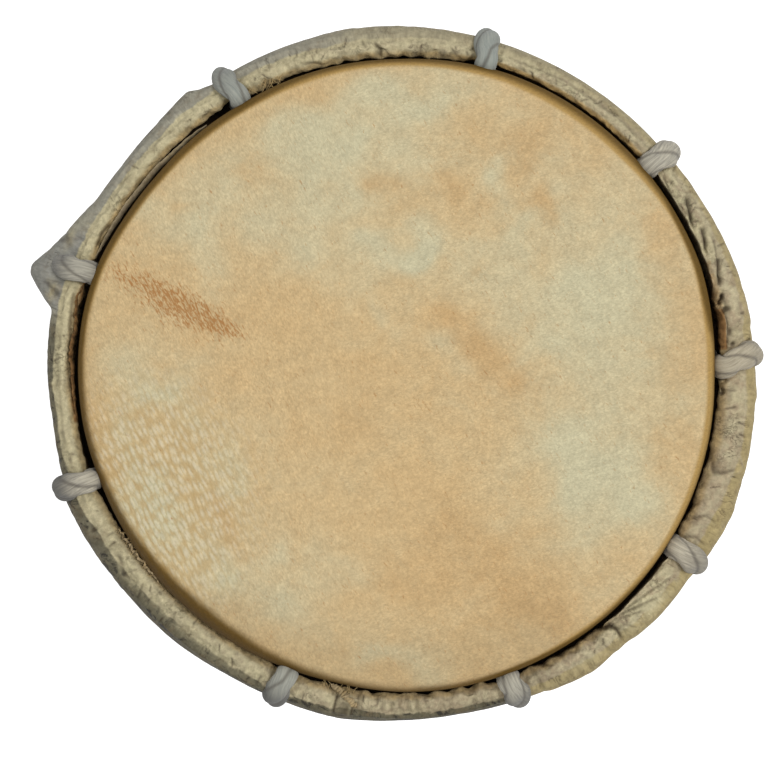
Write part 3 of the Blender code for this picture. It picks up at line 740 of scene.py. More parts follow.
def head_material():
    """Goat skin of a head: tan and cream clouds, hair streaks, a stain, a worn edge that runs into painted
    shade, and painted shade towards the rim and in the gap.
    """
    skin = scene_settings().skin
    material, tree, shader = new_material("goat_skin_head", roughness=0.6, gloss=0.12)
    place = object_place(tree)
    soft = clouds(tree, place, 110.0, 6.0, 0.62, 0.5)
    wide = clouds(tree, place, 34.0, 4.0, 0.55, 0.4)
    fine = clouds(tree, place, 420.0, 4.0, 0.6)
    loose = centred(tree, added(tree, times(tree, soft, 0.6), wide, 0.4))
    pale = added(tree, painted(tree, "pale"), loose, 1.5)
    colour = mixed(tree, ranged(tree, pale, -0.25, 1.2), solid(skin.tan), solid(skin.pale))
    brown = added(tree, painted(tree, "tan"), loose, -1.3)
    colour = tinted(tree, colour, skin.dark, ranged(tree, brown, 0.0, 0.85), 0.8)

    left_grain, right_grain = (
        clouds(tree, stretched(tree, place, way, 0.0006, 0.00032), 1.0, 2.0, 0.6, 0.8)
        for way in (-66.0, 14.0))
    side = put(tree, "ShaderNodeSeparateXYZ", {"Vector": place}).outputs["X"]
    side = added(tree, side, loose, 0.12)
    grain = put(tree, "ShaderNodeMix", {
        "Factor": ranged(tree, side, -0.022, 0.008), "A": left_grain, "B": right_grain}).outputs["Result"]
    pebbles = put(tree, "ShaderNodeTexVoronoi", {"Vector": place, "Scale": 1500.0}, feature="SMOOTH_F1")
    pebbles = pebbles.outputs["Distance"]
    colour = shaded(tree, colour, grain, 0.28, 0.72, 0.88, 1.12)
    colour = shaded(tree, colour, pebbles, 0.05, 0.65, 1.05, 0.93)
    colour = shaded(tree, colour, fine, 0.25, 0.75, 0.93, 1.07)
    # Painted shade: darker towards the rim, most of all at the lower rim
    colour = shaded(tree, colour, painted(tree, "rim_shade"), 0.0, 4.0, 1.0, 0.86)

    bend = put(tree, "ShaderNodeTexNoise", {"Vector": place, "Scale": 120.0, "Detail": 2.0}).outputs["Color"]
    bend = scaled(tree, bend, (0.0012, 0.0012, 0.0))
    leant = put(tree, "ShaderNodeVectorMath", {0: place, 1: bend}, operation="ADD").outputs[0]
    bumps = put(tree, "ShaderNodeTexVoronoi", {
        "Vector": stretched(tree, leant, STREAK_WAY, 0.0028, 0.00098), "Scale": 1.0, "Randomness": 0.65},
        voronoi_dimensions="2D").outputs["Distance"]
    threads = clouds(tree, stretched(tree, leant, STREAK_WAY, 0.0040, 0.00070), 1.0, 2.0, 0.5)
    threads = ranged(tree, threads, 0.36, 0.64, -0.35, 0.35)
    rows = sums(tree, "ADD", ranged(tree, bumps, 0.08, 0.62, 0.9, -0.9), threads)
    rows = times(tree, painted(tree, "streak"), rows)
    between_rows = times(tree, rows, -1.0)
    colour = tinted(tree, colour, (0.67, 0.59, 0.42), sums(tree, "MAXIMUM", rows, 0.0), 0.48)
    colour = tinted(tree, colour, (0.45, 0.30, 0.12), sums(tree, "MAXIMUM", between_rows, 0.0), 0.52)

    strokes = clouds(tree, stretched(tree, place, -58.0, 0.0013, 0.00034), 1.0, 2.0, 0.6, 0.7)
    ragged = added(tree, painted(tree, "stain"), centred(tree, strokes), 3.4)
    hair = times(tree, ranged(tree, ragged, 0.30, 1.25), ranged(tree, strokes, 0.30, 0.60, 0.2, 1.0))
    colour = tinted(tree, colour, skin.stain, hair, 0.9)

    edge = added(tree, painted(tree, "edge"), centred(tree, soft), 0.35)
    # The worn band: its own tan at its start, running into painted shade towards the edge and by angle
    band_shade = ranged(tree, painted(tree, "shoulder"), 0.1, 0.8)
    worn = mixed(tree, band_shade, solid(skin.shoulder_light), solid(skin.shoulder_dark))
    worn = shaded(tree, worn, grain, 0.25, 0.75, 0.86, 1.12)
    colour = mixed(tree, ranged(tree, edge, 0.05, 0.95, 0.0, 0.95), colour, worn)
    # Painted shade, near black, where the skin drops into the gap and on the rolled edge at the left
    colour = tinted(tree, colour, skin.dirt_and_shade, painted(tree, "deep"))
    pores = placed(tree, "Hide grain", {"Vector": place, "Scale": 1500.0})
    bumpy = added(tree, grain, pores["Height"], 0.35)
    bumpy = added(tree, bumpy, rows, 0.35)
    bumpy = added(tree, bumpy, pebbles, -0.5)
    surface(tree, shader, colour, bumpy, distance=0.00020, strength=0.6)
    return material


def lap_material():
    """The lap: dry pale crest, an outer side grey from the weather and darkened with painted shade at the
    left and below, raw brown inside, wrinkles, and dirty folds with painted shade and painted highlights.
    """
    skin = scene_settings().skin
    material, tree, shader = new_material("goat_skin_lap", roughness=0.7, gloss=0.12)
    place = object_place(tree)
    round_lap = put(tree, "ShaderNodeCombineXYZ", {
        "X": painted(tree, "round"), "Y": painted(tree, "section")}).outputs[0]
    grain = placed(tree, "Hide grain", {"Vector": place, "Scale": 1000.0})
    dirt = placed(tree, "Grime", {"Vector": place, "Scale": 260.0, "Amount": 0.55})
    spread = clouds(tree, place, 420.0, 5.0, 0.65, 0.5)
    lines = clouds(tree, scaled(tree, round_lap, (480.0, 8.0, 1.0)), 1.0, 4.0, 0.6, 0.6)
    splits = clouds(tree, scaled(tree, round_lap, (300.0, 5.0, 1.0)), 1.0, 3.0, 0.6, 0.8)
    uneven = centred(tree, spread)
    warm = painted(tree, "warm")
    outer_shade = painted(tree, "outer_shade")

    crest = added(tree, sums(tree, "SUBTRACT", 0.75, warm), uneven, 2.0)
    rosy = times(tree, warm, ranged(tree, spread, 0.35, 0.62, 0.9, 0.3))
    colour = mixed(tree, rosy, solid(skin.lap_bright), solid(skin.lap_rosy))
    colour = tinted(tree, colour, skin.lap_pale, ranged(tree, crest, -0.4, 1.0))
    inner = added(tree, painted(tree, "inner"), uneven, 0.8)
    colour = tinted(tree, colour, skin.lap_inner, ranged(tree, inner, 0.1, 1.0, 0.0, 0.85))
    # The outer side: grey and olive skin, darkened with painted shade at the left and below
    weathered_and_shaded = mixed(tree, warm, solid(skin.lap_grey), solid(skin.lap_olive))
    weathered_and_shaded = tinted(tree, weathered_and_shaded, skin.lap_outer_shade, ranged(tree, added(tree, outer_shade, uneven, 0.6), 0.0, 1.0))
    weathered_and_shaded = tinted(tree, weathered_and_shaded, skin.lap_ashen, painted(tree, "ashen"))
    # Dark blots, stains laid only where that painted shade lies
    blots = ranged(tree, clouds(tree, place, 360.0, 5.0, 0.65, 1.2), 0.51, 0.61, 0.0, 0.95)
    blots = times(tree, blots, ranged(tree, outer_shade, 0.0, 0.8))
    weathered_and_shaded = tinted(tree, weathered_and_shaded, (0.034, 0.031, 0.025), blots)
    broad = centred(tree, clouds(tree, place, 190.0, 4.0, 0.6, 0.8))
    # The outer side's colour, laid on more fully away from the light as painted shade
    outside = ranged(tree, added(tree, painted(tree, "outside"), broad, 1.6), 0.28, 0.72)
    colour = mixed(tree, outside, colour, weathered_and_shaded)
    # Pale dry skin, with painted light on the folds' lips, the flap and parts in shade
    bleach_and_light = times(tree, painted(tree, "bleach_and_light"), ranged(tree, spread, 0.3, 0.6))
    colour = tinted(tree, colour, skin.lap_pale, bleach_and_light)
    colour = tinted(tree, colour, (0.185, 0.130, 0.068), dirt["Mask"], 0.55)
    raw = ranged(tree, added(tree, painted(tree, "raw"), uneven, 1.1), 0.25, 0.85)
    colour = tinted(tree, colour, skin.lap_raw, raw, 0.9)
    colour = shaded(tree, colour, lines, 0.25, 0.75, 0.80, 1.14)
    colour = shaded(tree, colour, grain["Tone"], 0.25, 0.75, 0.82, 1.13)

    narrow = sums(tree, "ABSOLUTE", centred(tree, splits))
    some = ranged(tree, clouds(tree, place, 170.0, 3.0), 0.52, 0.66)
    crack = times(tree, ranged(tree, narrow, 0.003, 0.024, 1.0, 0.0), some)
    colour = tinted(tree, colour, (0.085, 0.058, 0.034), crack, 0.35)
    # Dirt in folds and cracks, and painted shade in folds and hollows
    colour = tinted(tree, colour, skin.dirt_and_shade, painted(tree, "dirt_and_shade"))
    bumpy = added(tree, lines, grain["Height"], 0.5)
    bumpy = added(tree, bumpy, crack, -0.6)
    surface(tree, shader, colour, bumpy, distance=0.00035, strength=0.8)
    return material


def cord_material(name, lay, soil):
    """Cotton cord of three strands, worn grey, with painted shade between the strands and on the loops' tips
    where they bend round the hoop, darkest on the side away from the light.
    """
    rope = scene_settings().rope
    material, tree, shader = new_material(name, roughness=0.9, gloss=0.1)
    along = put(tree, "ShaderNodeUVMap", uv_map="lay").outputs["UV"]
    yarn = placed(tree, "Yarn lay", {"Vector": along, "Strands": STRANDS, "Lay": lay})
    dirt = placed(tree, "Grime", {"Vector": object_place(tree), "Scale": 170.0, "Amount": soil})
    colour = mixed(tree, ranged(tree, yarn["Tone"], 0.25, 0.72), solid(rope.soiled), solid(rope.cotton))
    colour = tinted(tree, colour, rope.soiled, dirt["Mask"], 0.6)
    colour = tinted(tree, colour, (0.235, 0.280, 0.268), painted(tree, "cool"), 0.75)
    colour = tinted(tree, colour, (0.430, 0.350, 0.215), painted(tree, "mellow"), 0.6)
    # Painted shade on the loops' tips, darkest on the side away from the light
    colour = tinted(tree, colour, (0.085, 0.083, 0.075), painted(tree, "tip"), 0.95)
    # Painted shade in the grooves between the strands
    colour = tinted(tree, colour, (0.085, 0.072, 0.055), yarn["Groove_shade"], 0.60)
    shader.inputs["Sheen Weight"].default_value = 0.2
    shader.inputs["Sheen Roughness"].default_value = 0.6
    surface(tree, shader, colour, yarn["Height"], distance=0.00035, strength=0.8)
    return material


def wood_material(name, light, dark, scale, roughness):
    """Oiled, turned hardwood."""
    material, tree, shader = new_material(name, roughness)
    place = object_place(tree)
    grain = placed(tree, "Wood grain", {"Vector": place, "Scale": scale})
    dirt = placed(tree, "Grime", {"Vector": place, "Scale": 60.0, "Amount": 0.35})
    colour = mixed(tree, ranged(tree, grain["Tone"], 0.25, 0.85), solid(dark), solid(light))
    colour = tinted(tree, colour, dark, dirt["Mask"], 0.35)
    gloss = ranged(tree, grain["Tone"], 0.2, 0.9, roughness + 0.12, roughness - 0.06)
    tree.links.new(gloss, shader.inputs["Roughness"])
    surface(tree, shader, colour, grain["Height"], distance=0.00010, strength=0.5)
    return material


def cane_material():
    """Split cane with fine lengthwise fibres."""
    material, tree, shader = new_material("cane_hoop", roughness=0.6)
    fibres = clouds(tree, scaled(tree, object_place(tree), (40.0, 40.0, 900.0)), 1.0, 4.0, 0.6)
    cane = solid(scene_settings().wood.cane)
    colour = mixed(tree, ranged(tree, fibres, 0.3, 0.7), solid((0.22, 0.13, 0.05)), cane)
    surface(tree, shader, colour, fibres, distance=0.0001, strength=0.6)
    return material


def rawhide_material():
    """Waxed rawhide with paler cut edges."""
    striker = scene_settings().striker
    material, tree, shader = new_material("rawhide_thong", roughness=0.5)
    place = object_place(tree)
    grain = placed(tree, "Hide grain", {"Vector": place, "Scale": 1300.0})
    dirt = placed(tree, "Grime", {"Vector": place, "Scale": 120.0, "Amount": 0.5})
    colour = mixed(tree, painted(tree, "edge"), solid(striker.rawhide), solid(striker.edge))
    colour = shaded(tree, colour, grain["Tone"], 0.3, 0.7, 0.75, 1.2)
    colour = tinted(tree, colour, (0.10, 0.05, 0.022), dirt["Mask"], 0.5)
    surface(tree, shader, colour, grain["Height"], distance=0.00018, strength=0.6)
    return material


# Lap and head shapes

# Angles round a lap's section, in degrees: 0 is outwards, 90 towards the head's face, 180 inwards
LAP_STATIONS = (-6.0, 8.0, 60.0, 112.0, 162.0, 212.0, 258.0, 296.0, 312.0, 326.0, 338.0, 346.0)

# In mm: depths at the lap's outline, the cane's inner radius, the radius and depth of its top,
# the radius of the head's shoulder and the depth that its skirt reaches
INNER_DEPTH, RIDGE_DEPTH, OUTER_DEPTH = 5.0, 4.5, 9.5
CANE_INNER = 67.9
CANE_TOP = (69.14, 5.23)
HEAD_EDGE = 64.2
SKIRT_DEPTH = 13.9

# The ring that each lap is shaped from: its radius, its depth and its section's radius, in mm
RING_RADIUS, RING_DEPTH, RING_SECTION = 69.6, 9.2, 3.0


def real_radius(seen, depth):
    """Radius in mm of what the camera sees at a radius on the head's plane."""
    return seen * (1.0 + depth * MM / scene_settings().stage.eye)


def seen_radius(radius, depth):
    """Where the camera sees a radius, on the head's plane, in mm."""
    return radius / (1.0 + depth * MM / scene_settings().stage.eye)


def lap_outline(end, angles):
    """Real radii in mm of the lap's inner edge, ridge and outer edge."""
    if end == UPPER:
        places, inner_edge, crest, outer_edge = np.array(LAP_OUTLINE).T
        inner = round_drum(angles, places, inner_edge)
        ridge = round_drum(angles, places, crest)
        outer = round_drum(angles, places, outer_edge, 0.5)
    else:
        still = np.zeros_like(angles)
        inner = 64.5 + 0.35 * ripple(angles, still, 31, 3, 12)
        ridge = 67.9 + 0.35 * ripple(angles, still, 32, 3, 12)
        outer = 69.8 + 0.40 * ripple(angles, still, 33, 3, 14)
    return real_radius(inner, INNER_DEPTH), real_radius(ridge, RIDGE_DEPTH), real_radius(outer, OUTER_DEPTH)


def lower_loops():
    """The lower loops lie midway between the upper ones."""
    following = UPPER_LOOPS[1:] + (UPPER_LOOPS[0] + 360.0,)
    return tuple((first + second) / 2 for first, second in zip(UPPER_LOOPS, following))


def loops_of(end):
    """Angles of one end's rope loops."""
    return UPPER_LOOPS if end == UPPER else lower_loops()


def between(place, rows):
    """A closed smooth curve through rows of values, read at places from 0 to their count."""
    count = len(rows)
    base = np.floor(place).astype(int)
    share = place - base
    column = np.arange(len(place))
    before, here, after, beyond = (rows[(base + step) % count, column] for step in (-1, 0, 1, 2))
    slope = 2.0 * before - 5.0 * here + 4.0 * after - beyond
    bend = 3.0 * (here - after) + beyond - before
    return here + 0.5 * share * (after - before + share * (slope + share * bend))


def lap_section(end, angles, section):
    """Radius and depth in mm of a lap, at angles round the drum and round its section."""
    inner, ridge, outer = lap_outline(end, angles)
    press = np.max([span(angles, loop - 1.5, loop + 1.5, 2.0) for loop in loops_of(end)], axis=0)
    strikers = STRIKER_ANGLES.values()
    rubbed = np.max([span(angles, striker - 3.0, striker + 3.0, 4.0) for striker in strikers], axis=0)
    inner = inner + 0.1 + 0.5 * press
    width = ridge - inner
    slope = outer - ridge
    radii = np.array([
        outer + 0.25 - 0.6 * rubbed, outer, ridge + 0.62 * slope, ridge,
        inner + 0.62 * width, inner + 0.30 * width, inner + 0.07 * width, inner,
        np.maximum(inner + 0.9, CANE_INNER - 1.2), np.full_like(inner, CANE_INNER),
        (CANE_INNER + outer) / 2, np.maximum(outer - 0.3, 71.2) - 0.9 * rubbed])
    sunk = 0.7 * press
    even = np.ones_like(inner)
    depths = np.array([
        11.8 * even, 9.3 * even, 6.2 + sunk / 3, 4.55 + sunk, 3.55 + sunk, 3.75 + sunk,
        4.7 + sunk / 2, 6.0 * even, 8.3 * even, 12.6 * even, 14.6 - 0.7 * rubbed, 14.2 - 0.8 * rubbed])
    turn = (section - LAP_STATIONS[0]) % 360.0 + LAP_STATIONS[0]
    place = np.interp(turn, LAP_STATIONS + (LAP_STATIONS[0] + 360.0,), np.arange(len(LAP_STATIONS) + 1))
    return between(place, radii), between(place, depths)


def nearest_way(x, y, path):
    """Distance in mm of points to a line through angles and radii, place along it, and which side."""
    corners = [(radius * math.cos(math.radians(angle)), radius * math.sin(math.radians(angle)))
               for angle, radius in path]
    nearest = np.full_like(x, 1e6)
    place = np.zeros_like(x)
    side = np.zeros_like(x)
    pieces = list(zip(corners, corners[1:]))
    for index, ((ax, ay), (bx, by)) in enumerate(pieces):
        along = ((x - ax) * (bx - ax) + (y - ay) * (by - ay)) / ((bx - ax) ** 2 + (by - ay) ** 2)
        along = np.clip(along, 0.0, 1.0)
        away = np.hypot(x - ax - along * (bx - ax), y - ay - along * (by - ay))
        closer = away < nearest
        place = np.where(closer, (index + along) / len(pieces), place)
        side = np.where(closer, np.sign((bx - ax) * (y - ay) - (by - ay) * (x - ax)), side)
        nearest = np.minimum(nearest, away)
    return nearest, place, side


def cracks(angles, section, end):
    """Fine cracks across the crest: how deep each point lies in one, from 0 to 1."""
    draw = random.Random(71 + end)
    total = np.zeros_like(angles)
    for _ in range(120):
        middle = draw.uniform(0.0, 360.0)
        half = draw.uniform(0.10, 0.24)
        low = draw.uniform(48.0, 196.0)
        high = low + draw.uniform(38.0, 110.0)
        lean = draw.uniform(-0.015, 0.015)
        depth = draw.uniform(0.3, 1.0)
        away = np.abs(wrapped(angles - middle - lean * (section - 155.0)))
        along = eased((section - low) / 22.0) * eased((high - section) / 22.0)
        total = np.maximum(total, depth * along * np.exp(-(away / half) ** 2))
    return total


def upper_folds(angles, section, seen, on_top, slack):
    """The upper lap's own folds: changes of radius and depth in mm, then dirt and painted shade in folds and
    hollows, torn parts, and pale dry skin with painted light.
    """
    across = np.radians(section)
    still = np.zeros_like(angles)
    on_inner = span(section, 216.0, 312.0, 26.0)
    facing = span(section, 8.0, 306.0, 12.0)
    crown = span(section, 86.0, 282.0, 44.0)

    pleats = np.sin(np.radians(angles) * 104.0 + 4.0 * ripple(angles, still, 21, 6, 26))
    scallop = span(angles, 80.0, 114.0, 4.0) * pleats
    scallop *= 0.5 + 0.5 * ripple(angles, still, 26, 5, 20)
    wrinkle = span(angles, 263.0, 308.0, 3.0) * ripple(angles, across * 0.3, 22, 170, 260)
    wrinkle += 0.7 * span(angles, 206.0, 250.0, 4.0) * ripple(angles, across * 0.3, 23, 130, 260)
    wrinkle += 0.5 * span(angles, 40.0, 118.0, 4.0) * ripple(angles, across * 0.3, 24, 160, 300)
    stuffed = span(angles, 263.0, 308.0, 3.0) * ripple(angles, still, 25, 60, 130)
    radius = -on_inner * (0.26 * scallop + 0.22 * stuffed)
    depth = crown * (0.17 * wrinkle - 0.24 * stuffed)
    # Darker in the wrinkles' hollows: dirt and painted shade
    dirt = crown * 0.38 * eased(0.8 * wrinkle - 0.4)
    lifted = np.interp(section, (205.0, 258.0, 296.0, 308.0, 322.0), (0.0, 0.9, 1.9, 1.4, 0.0))
    depth = depth - slack * lifted
    for first, last, lift in LOBES:
        depth = depth - lift * span(angles, first, last, 1.6) * on_top

    x, y, _ = polar(seen, np.radians(angles), 0.0).T
    bleach_and_light = np.zeros_like(angles)
    for width, drop, path in CREASES:
        away, along, side = nearest_way(x, y, path)
        ends = facing * eased(along * 4.0 + 0.2) * eased((1.0 - along) * 4.0 + 0.2)
        groove = np.exp(-(away / (width * (1.1 - 0.5 * along))) ** 2)
        signed = away * side
        slope = ends * np.exp(-away / 1.2) * eased((signed + 0.3) / 0.6)
        lip = ends * np.exp(-np.maximum(away - 0.5, 0.0) / 1.0) * eased((0.1 - signed) / 0.6)
        depth = depth + drop * (0.30 * facing * groove + 0.25 * slope - 0.35 * lip)
        radius = radius + 0.1 * drop * facing * groove * on_inner
        # Dirt and painted shade in each fold, painted shade on the slope down into it, painted light on the
        # lip beside it
        dirt = np.maximum(dirt, min(0.90, 0.20 + 0.55 * drop) * ends * groove)
        dirt = np.maximum(dirt, 0.10 * min(1.0, drop / 1.5) * slope)
        bleach_and_light += 0.6 * min(1.0, drop / 1.5) * lip
    # Painted shade in the hollows between the folds
    for angle, spot, wide, high, strength in DARK_SPOTS:
        aside = np.radians(wrapped(angles - angle)) * spot / wide
        hollow = facing * np.exp(-aside ** 2 - ((seen - spot) / high) ** 2)
        depth = depth + 0.5 * strength * hollow
        dirt = np.maximum(dirt, strength * eased(1.5 * hollow - 0.2))
    torn = np.zeros_like(angles)
    for first, last, reach, strength in RAW_SPANS:
        shown = span(angles, first, last, 1.2) * eased((reach - seen) / 0.7)
        torn = np.maximum(torn, strength * shown * facing)
    # Pale dry skin, and painted light on the flap and where folds and the inner side lie in shade
    for angle, spot, wide, high, strength in PALE_AND_LIT_SPOTS:
        aside = wrapped(angles - angle) / wide
        bleach_and_light += strength * np.exp(-aside ** 2 - ((seen - spot) / high) ** 2) * facing
    return radius, depth, dirt, torn, bleach_and_light


def shape_lap(item, end):
    """Move a ring's points to the lap's section, with its wrinkles, folds, tears and cracks."""
    spots = spots_of(item)
    angles = np.degrees(np.arctan2(spots[:, 1], spots[:, 0])) % 360.0
    outward = np.hypot(spots[:, 0], spots[:, 1]) - RING_RADIUS * MM
    rise = (spots[:, 2] - level(end, RING_DEPTH)) * end
    section = np.degrees(np.arctan2(rise, outward)) % 360.0
    radius, depth = lap_section(end, angles, section)
    across = np.radians(section)
    on_top = span(section, 28.0, 282.0, 30.0)
    slack = np.zeros_like(angles)
    if end == UPPER:
        slack = span(angles, 17.0, 38.0, 3.0) + span(angles, 311.0, 326.0, 3.0)
        slack += 0.6 * span(angles, 43.0, 73.0, 4.0)
    loose = (0.3 + 0.7 * span(section, 98.0, 312.0, 32.0)) * (1.0 - 0.75 * slack)
    radius = radius + loose * 0.14 * ripple(angles, across, 5 + end, 20, 90)
    radius = radius + loose * 0.07 * ripple(angles, across, 8 + end, 90, 260)
    depth = depth + on_top * 0.14 * ripple(angles, across, 11 + end, 20, 120)
    dirt_and_shade = 0.85 * cracks(angles, section, end)
    depth = depth + 0.16 * dirt_and_shade
    raw = 0.5 * span(section, 297.0, 321.0, 8.0)
    bleach_and_light = np.zeros_like(angles)
    seen = seen_radius(radius, depth)
    if end == UPPER:
        pulled, sunk, dirt, torn, bleach_and_light = upper_folds(angles, section, seen, on_top, slack)
        radius = radius + pulled
        depth = depth + sunk
        # The folds' dirt and painted shade join the cracks
        dirt_and_shade = np.maximum(dirt_and_shade, dirt)
        raw = np.maximum(raw, torn)
    from_cane = np.abs(radius - CANE_TOP[0]) - 0.9
    highest = CANE_TOP[1] - 0.25 + 2.0 * np.maximum(from_cane, 0.0)
    depth = np.where(on_top > 0.0, np.minimum(depth, highest), depth)
    paint_lap(item, end, angles, section, seen, dirt_and_shade)
    paint(item, "raw", raw)
    paint(item, "bleach_and_light", bleach_and_light)
    move_spots(item, polar(radius * MM, np.radians(angles), level(end, depth)))


def paint_lap(item, end, angles, section, seen, dirt_and_shade):
    """Paint a lap's tones by its angles and its section, its dirt, and painted shade on its outer side away
    from the light and on its inner side from 192 to 262 degrees.
    """
    inner, ridge, _ = lap_outline(end, angles)
    inner_seen = seen_radius(inner, INNER_DEPTH)
    ridge_seen = seen_radius(ridge, RIDGE_DEPTH)
    # Painted shade: the outer side's colour laid on more fully on the side away from the light
    away_from_light = 0.5 - 0.5 * np.cos(np.radians(angles - 20.0))
    beyond = eased((seen - ridge_seen + 0.5) / 1.3)
    paint(item, "outside", np.maximum(beyond, span(section, 335.0, 352.0, 8.0)) * (0.75 + 0.25 * away_from_light))
    within = 1.0 - eased(((seen - inner_seen) / (ridge_seen - inner_seen) - 0.12) / 0.45)
    paint(item, "inner", within * (
        0.6 + 0.4 * span(angles, 40.0, 76.0, 5.0) - 0.5 * span(angles, 18.0, 37.0, 3.0)
        - 0.4 * span(angles, 312.0, 326.0, 3.0)))
    # Painted shade on the inner side from 192 to 262 degrees
    dirt_and_shade = np.maximum(dirt_and_shade, 0.20 * within * span(angles, 192.0, 262.0, 6.0))
    # Painted shade on the outer side from 174 to 212 degrees and, fuller, from 218 to 288
    paint(item, "outer_shade", 0.75 * span(angles, 174.0, 212.0, 6.0) + 1.0 * span(angles, 218.0, 288.0, 6.0))
    paint(item, "ashen", 0.9 * span(angles, 157.0, 168.0, 3.0) + 0.4 * span(angles, 104.0, 150.0, 8.0))
    paint(item, "warm", 0.5 + 0.5 * np.cos(np.radians(angles + 25.0)))
    paint(item, "dirt_and_shade", np.clip(dirt_and_shade, 0.0, 1.0))
    paint(item, "round", (angles - UPPER_LOOPS[0]) % 360.0 / 360.0)
    paint(item, "section", section / 360.0)


def make_lap(name, end, nodes, material):
    """A lap: a ring round the cane, doubled three times from an eighth and shaped point by point."""
    outline = []
    for step in range(LAP_SIDES[end]):
        turn = math.tau * step / LAP_SIDES[end]
        radius = (RING_RADIUS + RING_SECTION * math.cos(turn)) * MM
        outline.append((radius, level(end, RING_DEPTH) + RING_SECTION * MM * math.sin(turn)))
    item = turned(name, outline + outline[:1], LAP_STEPS[end] // 8, 45.0)
    bpy.ops.object.mode_set(mode="EDIT")
    for angle in (45.0, 90.0, 180.0):
        bpy.ops.mesh.select_all(action="SELECT")
        bpy.ops.mesh.duplicate()
        bpy.ops.transform.rotate(value=math.radians(angle), orient_axis="Z", center_override=(0.0, 0.0, 0.0))
    whole_mesh(bpy.ops.mesh.remove_doubles, threshold=WELD)
    shape_lap(item, end)
    whole_mesh(bpy.ops.mesh.normals_make_consistent, inside=False)
    return finish_piece(item, "drum", nodes, material, SOFT_EDGES)


def head_outline(end):
    """Outline of a head's outer face: the face, the shoulder, the skirt and the web."""
    shoulder = scene_settings().skin.shoulder / MM
    face_end = HEAD_EDGE - shoulder
    points = [(radius, 0.0) for radius in np.linspace(0.0, face_end, 58)]
    for step in range(1, 13):
        turn = math.pi / 2 - (math.pi / 2 - HOOP_SLANT / 2) * step / 12
        points.append((face_end + shoulder * math.cos(turn), shoulder - shoulder * math.sin(turn)))
    radius, depth = points[-1]
    for step in range(1, 9):
        drop = (SKIRT_DEPTH - depth) * step / 8
        points.append((radius + drop * math.tan(HOOP_SLANT / 2), depth + drop))
    radius = points[-1][0]
    for step in range(1, 5):
        points.append((radius + 4.5 * step / 4, SKIRT_DEPTH + 0.7 * math.sin(math.pi / 2 * step / 4)))
    return [(radius * MM, level(end, depth)) for radius, depth in points]


def patch_sum(x, y, patches):
    """Sum of soft patches at points of a head, in mm."""
    total = np.zeros_like(x)
    for middle_x, middle_y, wide, high, lean, strength in patches:
        turn = math.radians(lean)
        along = (x - middle_x) * math.cos(turn) + (y - middle_y) * math.sin(turn)
        up = (y - middle_y) * math.cos(turn) - (x - middle_x) * math.sin(turn)
        total += strength * np.exp(-((along / wide) ** 2 + (up / high) ** 2))
    return total


def head_edge(end, angles):
    """Seen radii in mm of a head's worn band and of its edge."""
    if end == UPPER:
        places, bands, edges = np.array(HEAD_OUTLINE).T
        return round_drum(angles, places, bands, 3.0), round_drum(angles, places, edges, 3.0)
    still = np.zeros_like(angles)
    return 62.0 + 0.4 * ripple(angles, still, 41, 2, 9), 63.6 + 0.25 * ripple(angles, still, 42, 2, 9)


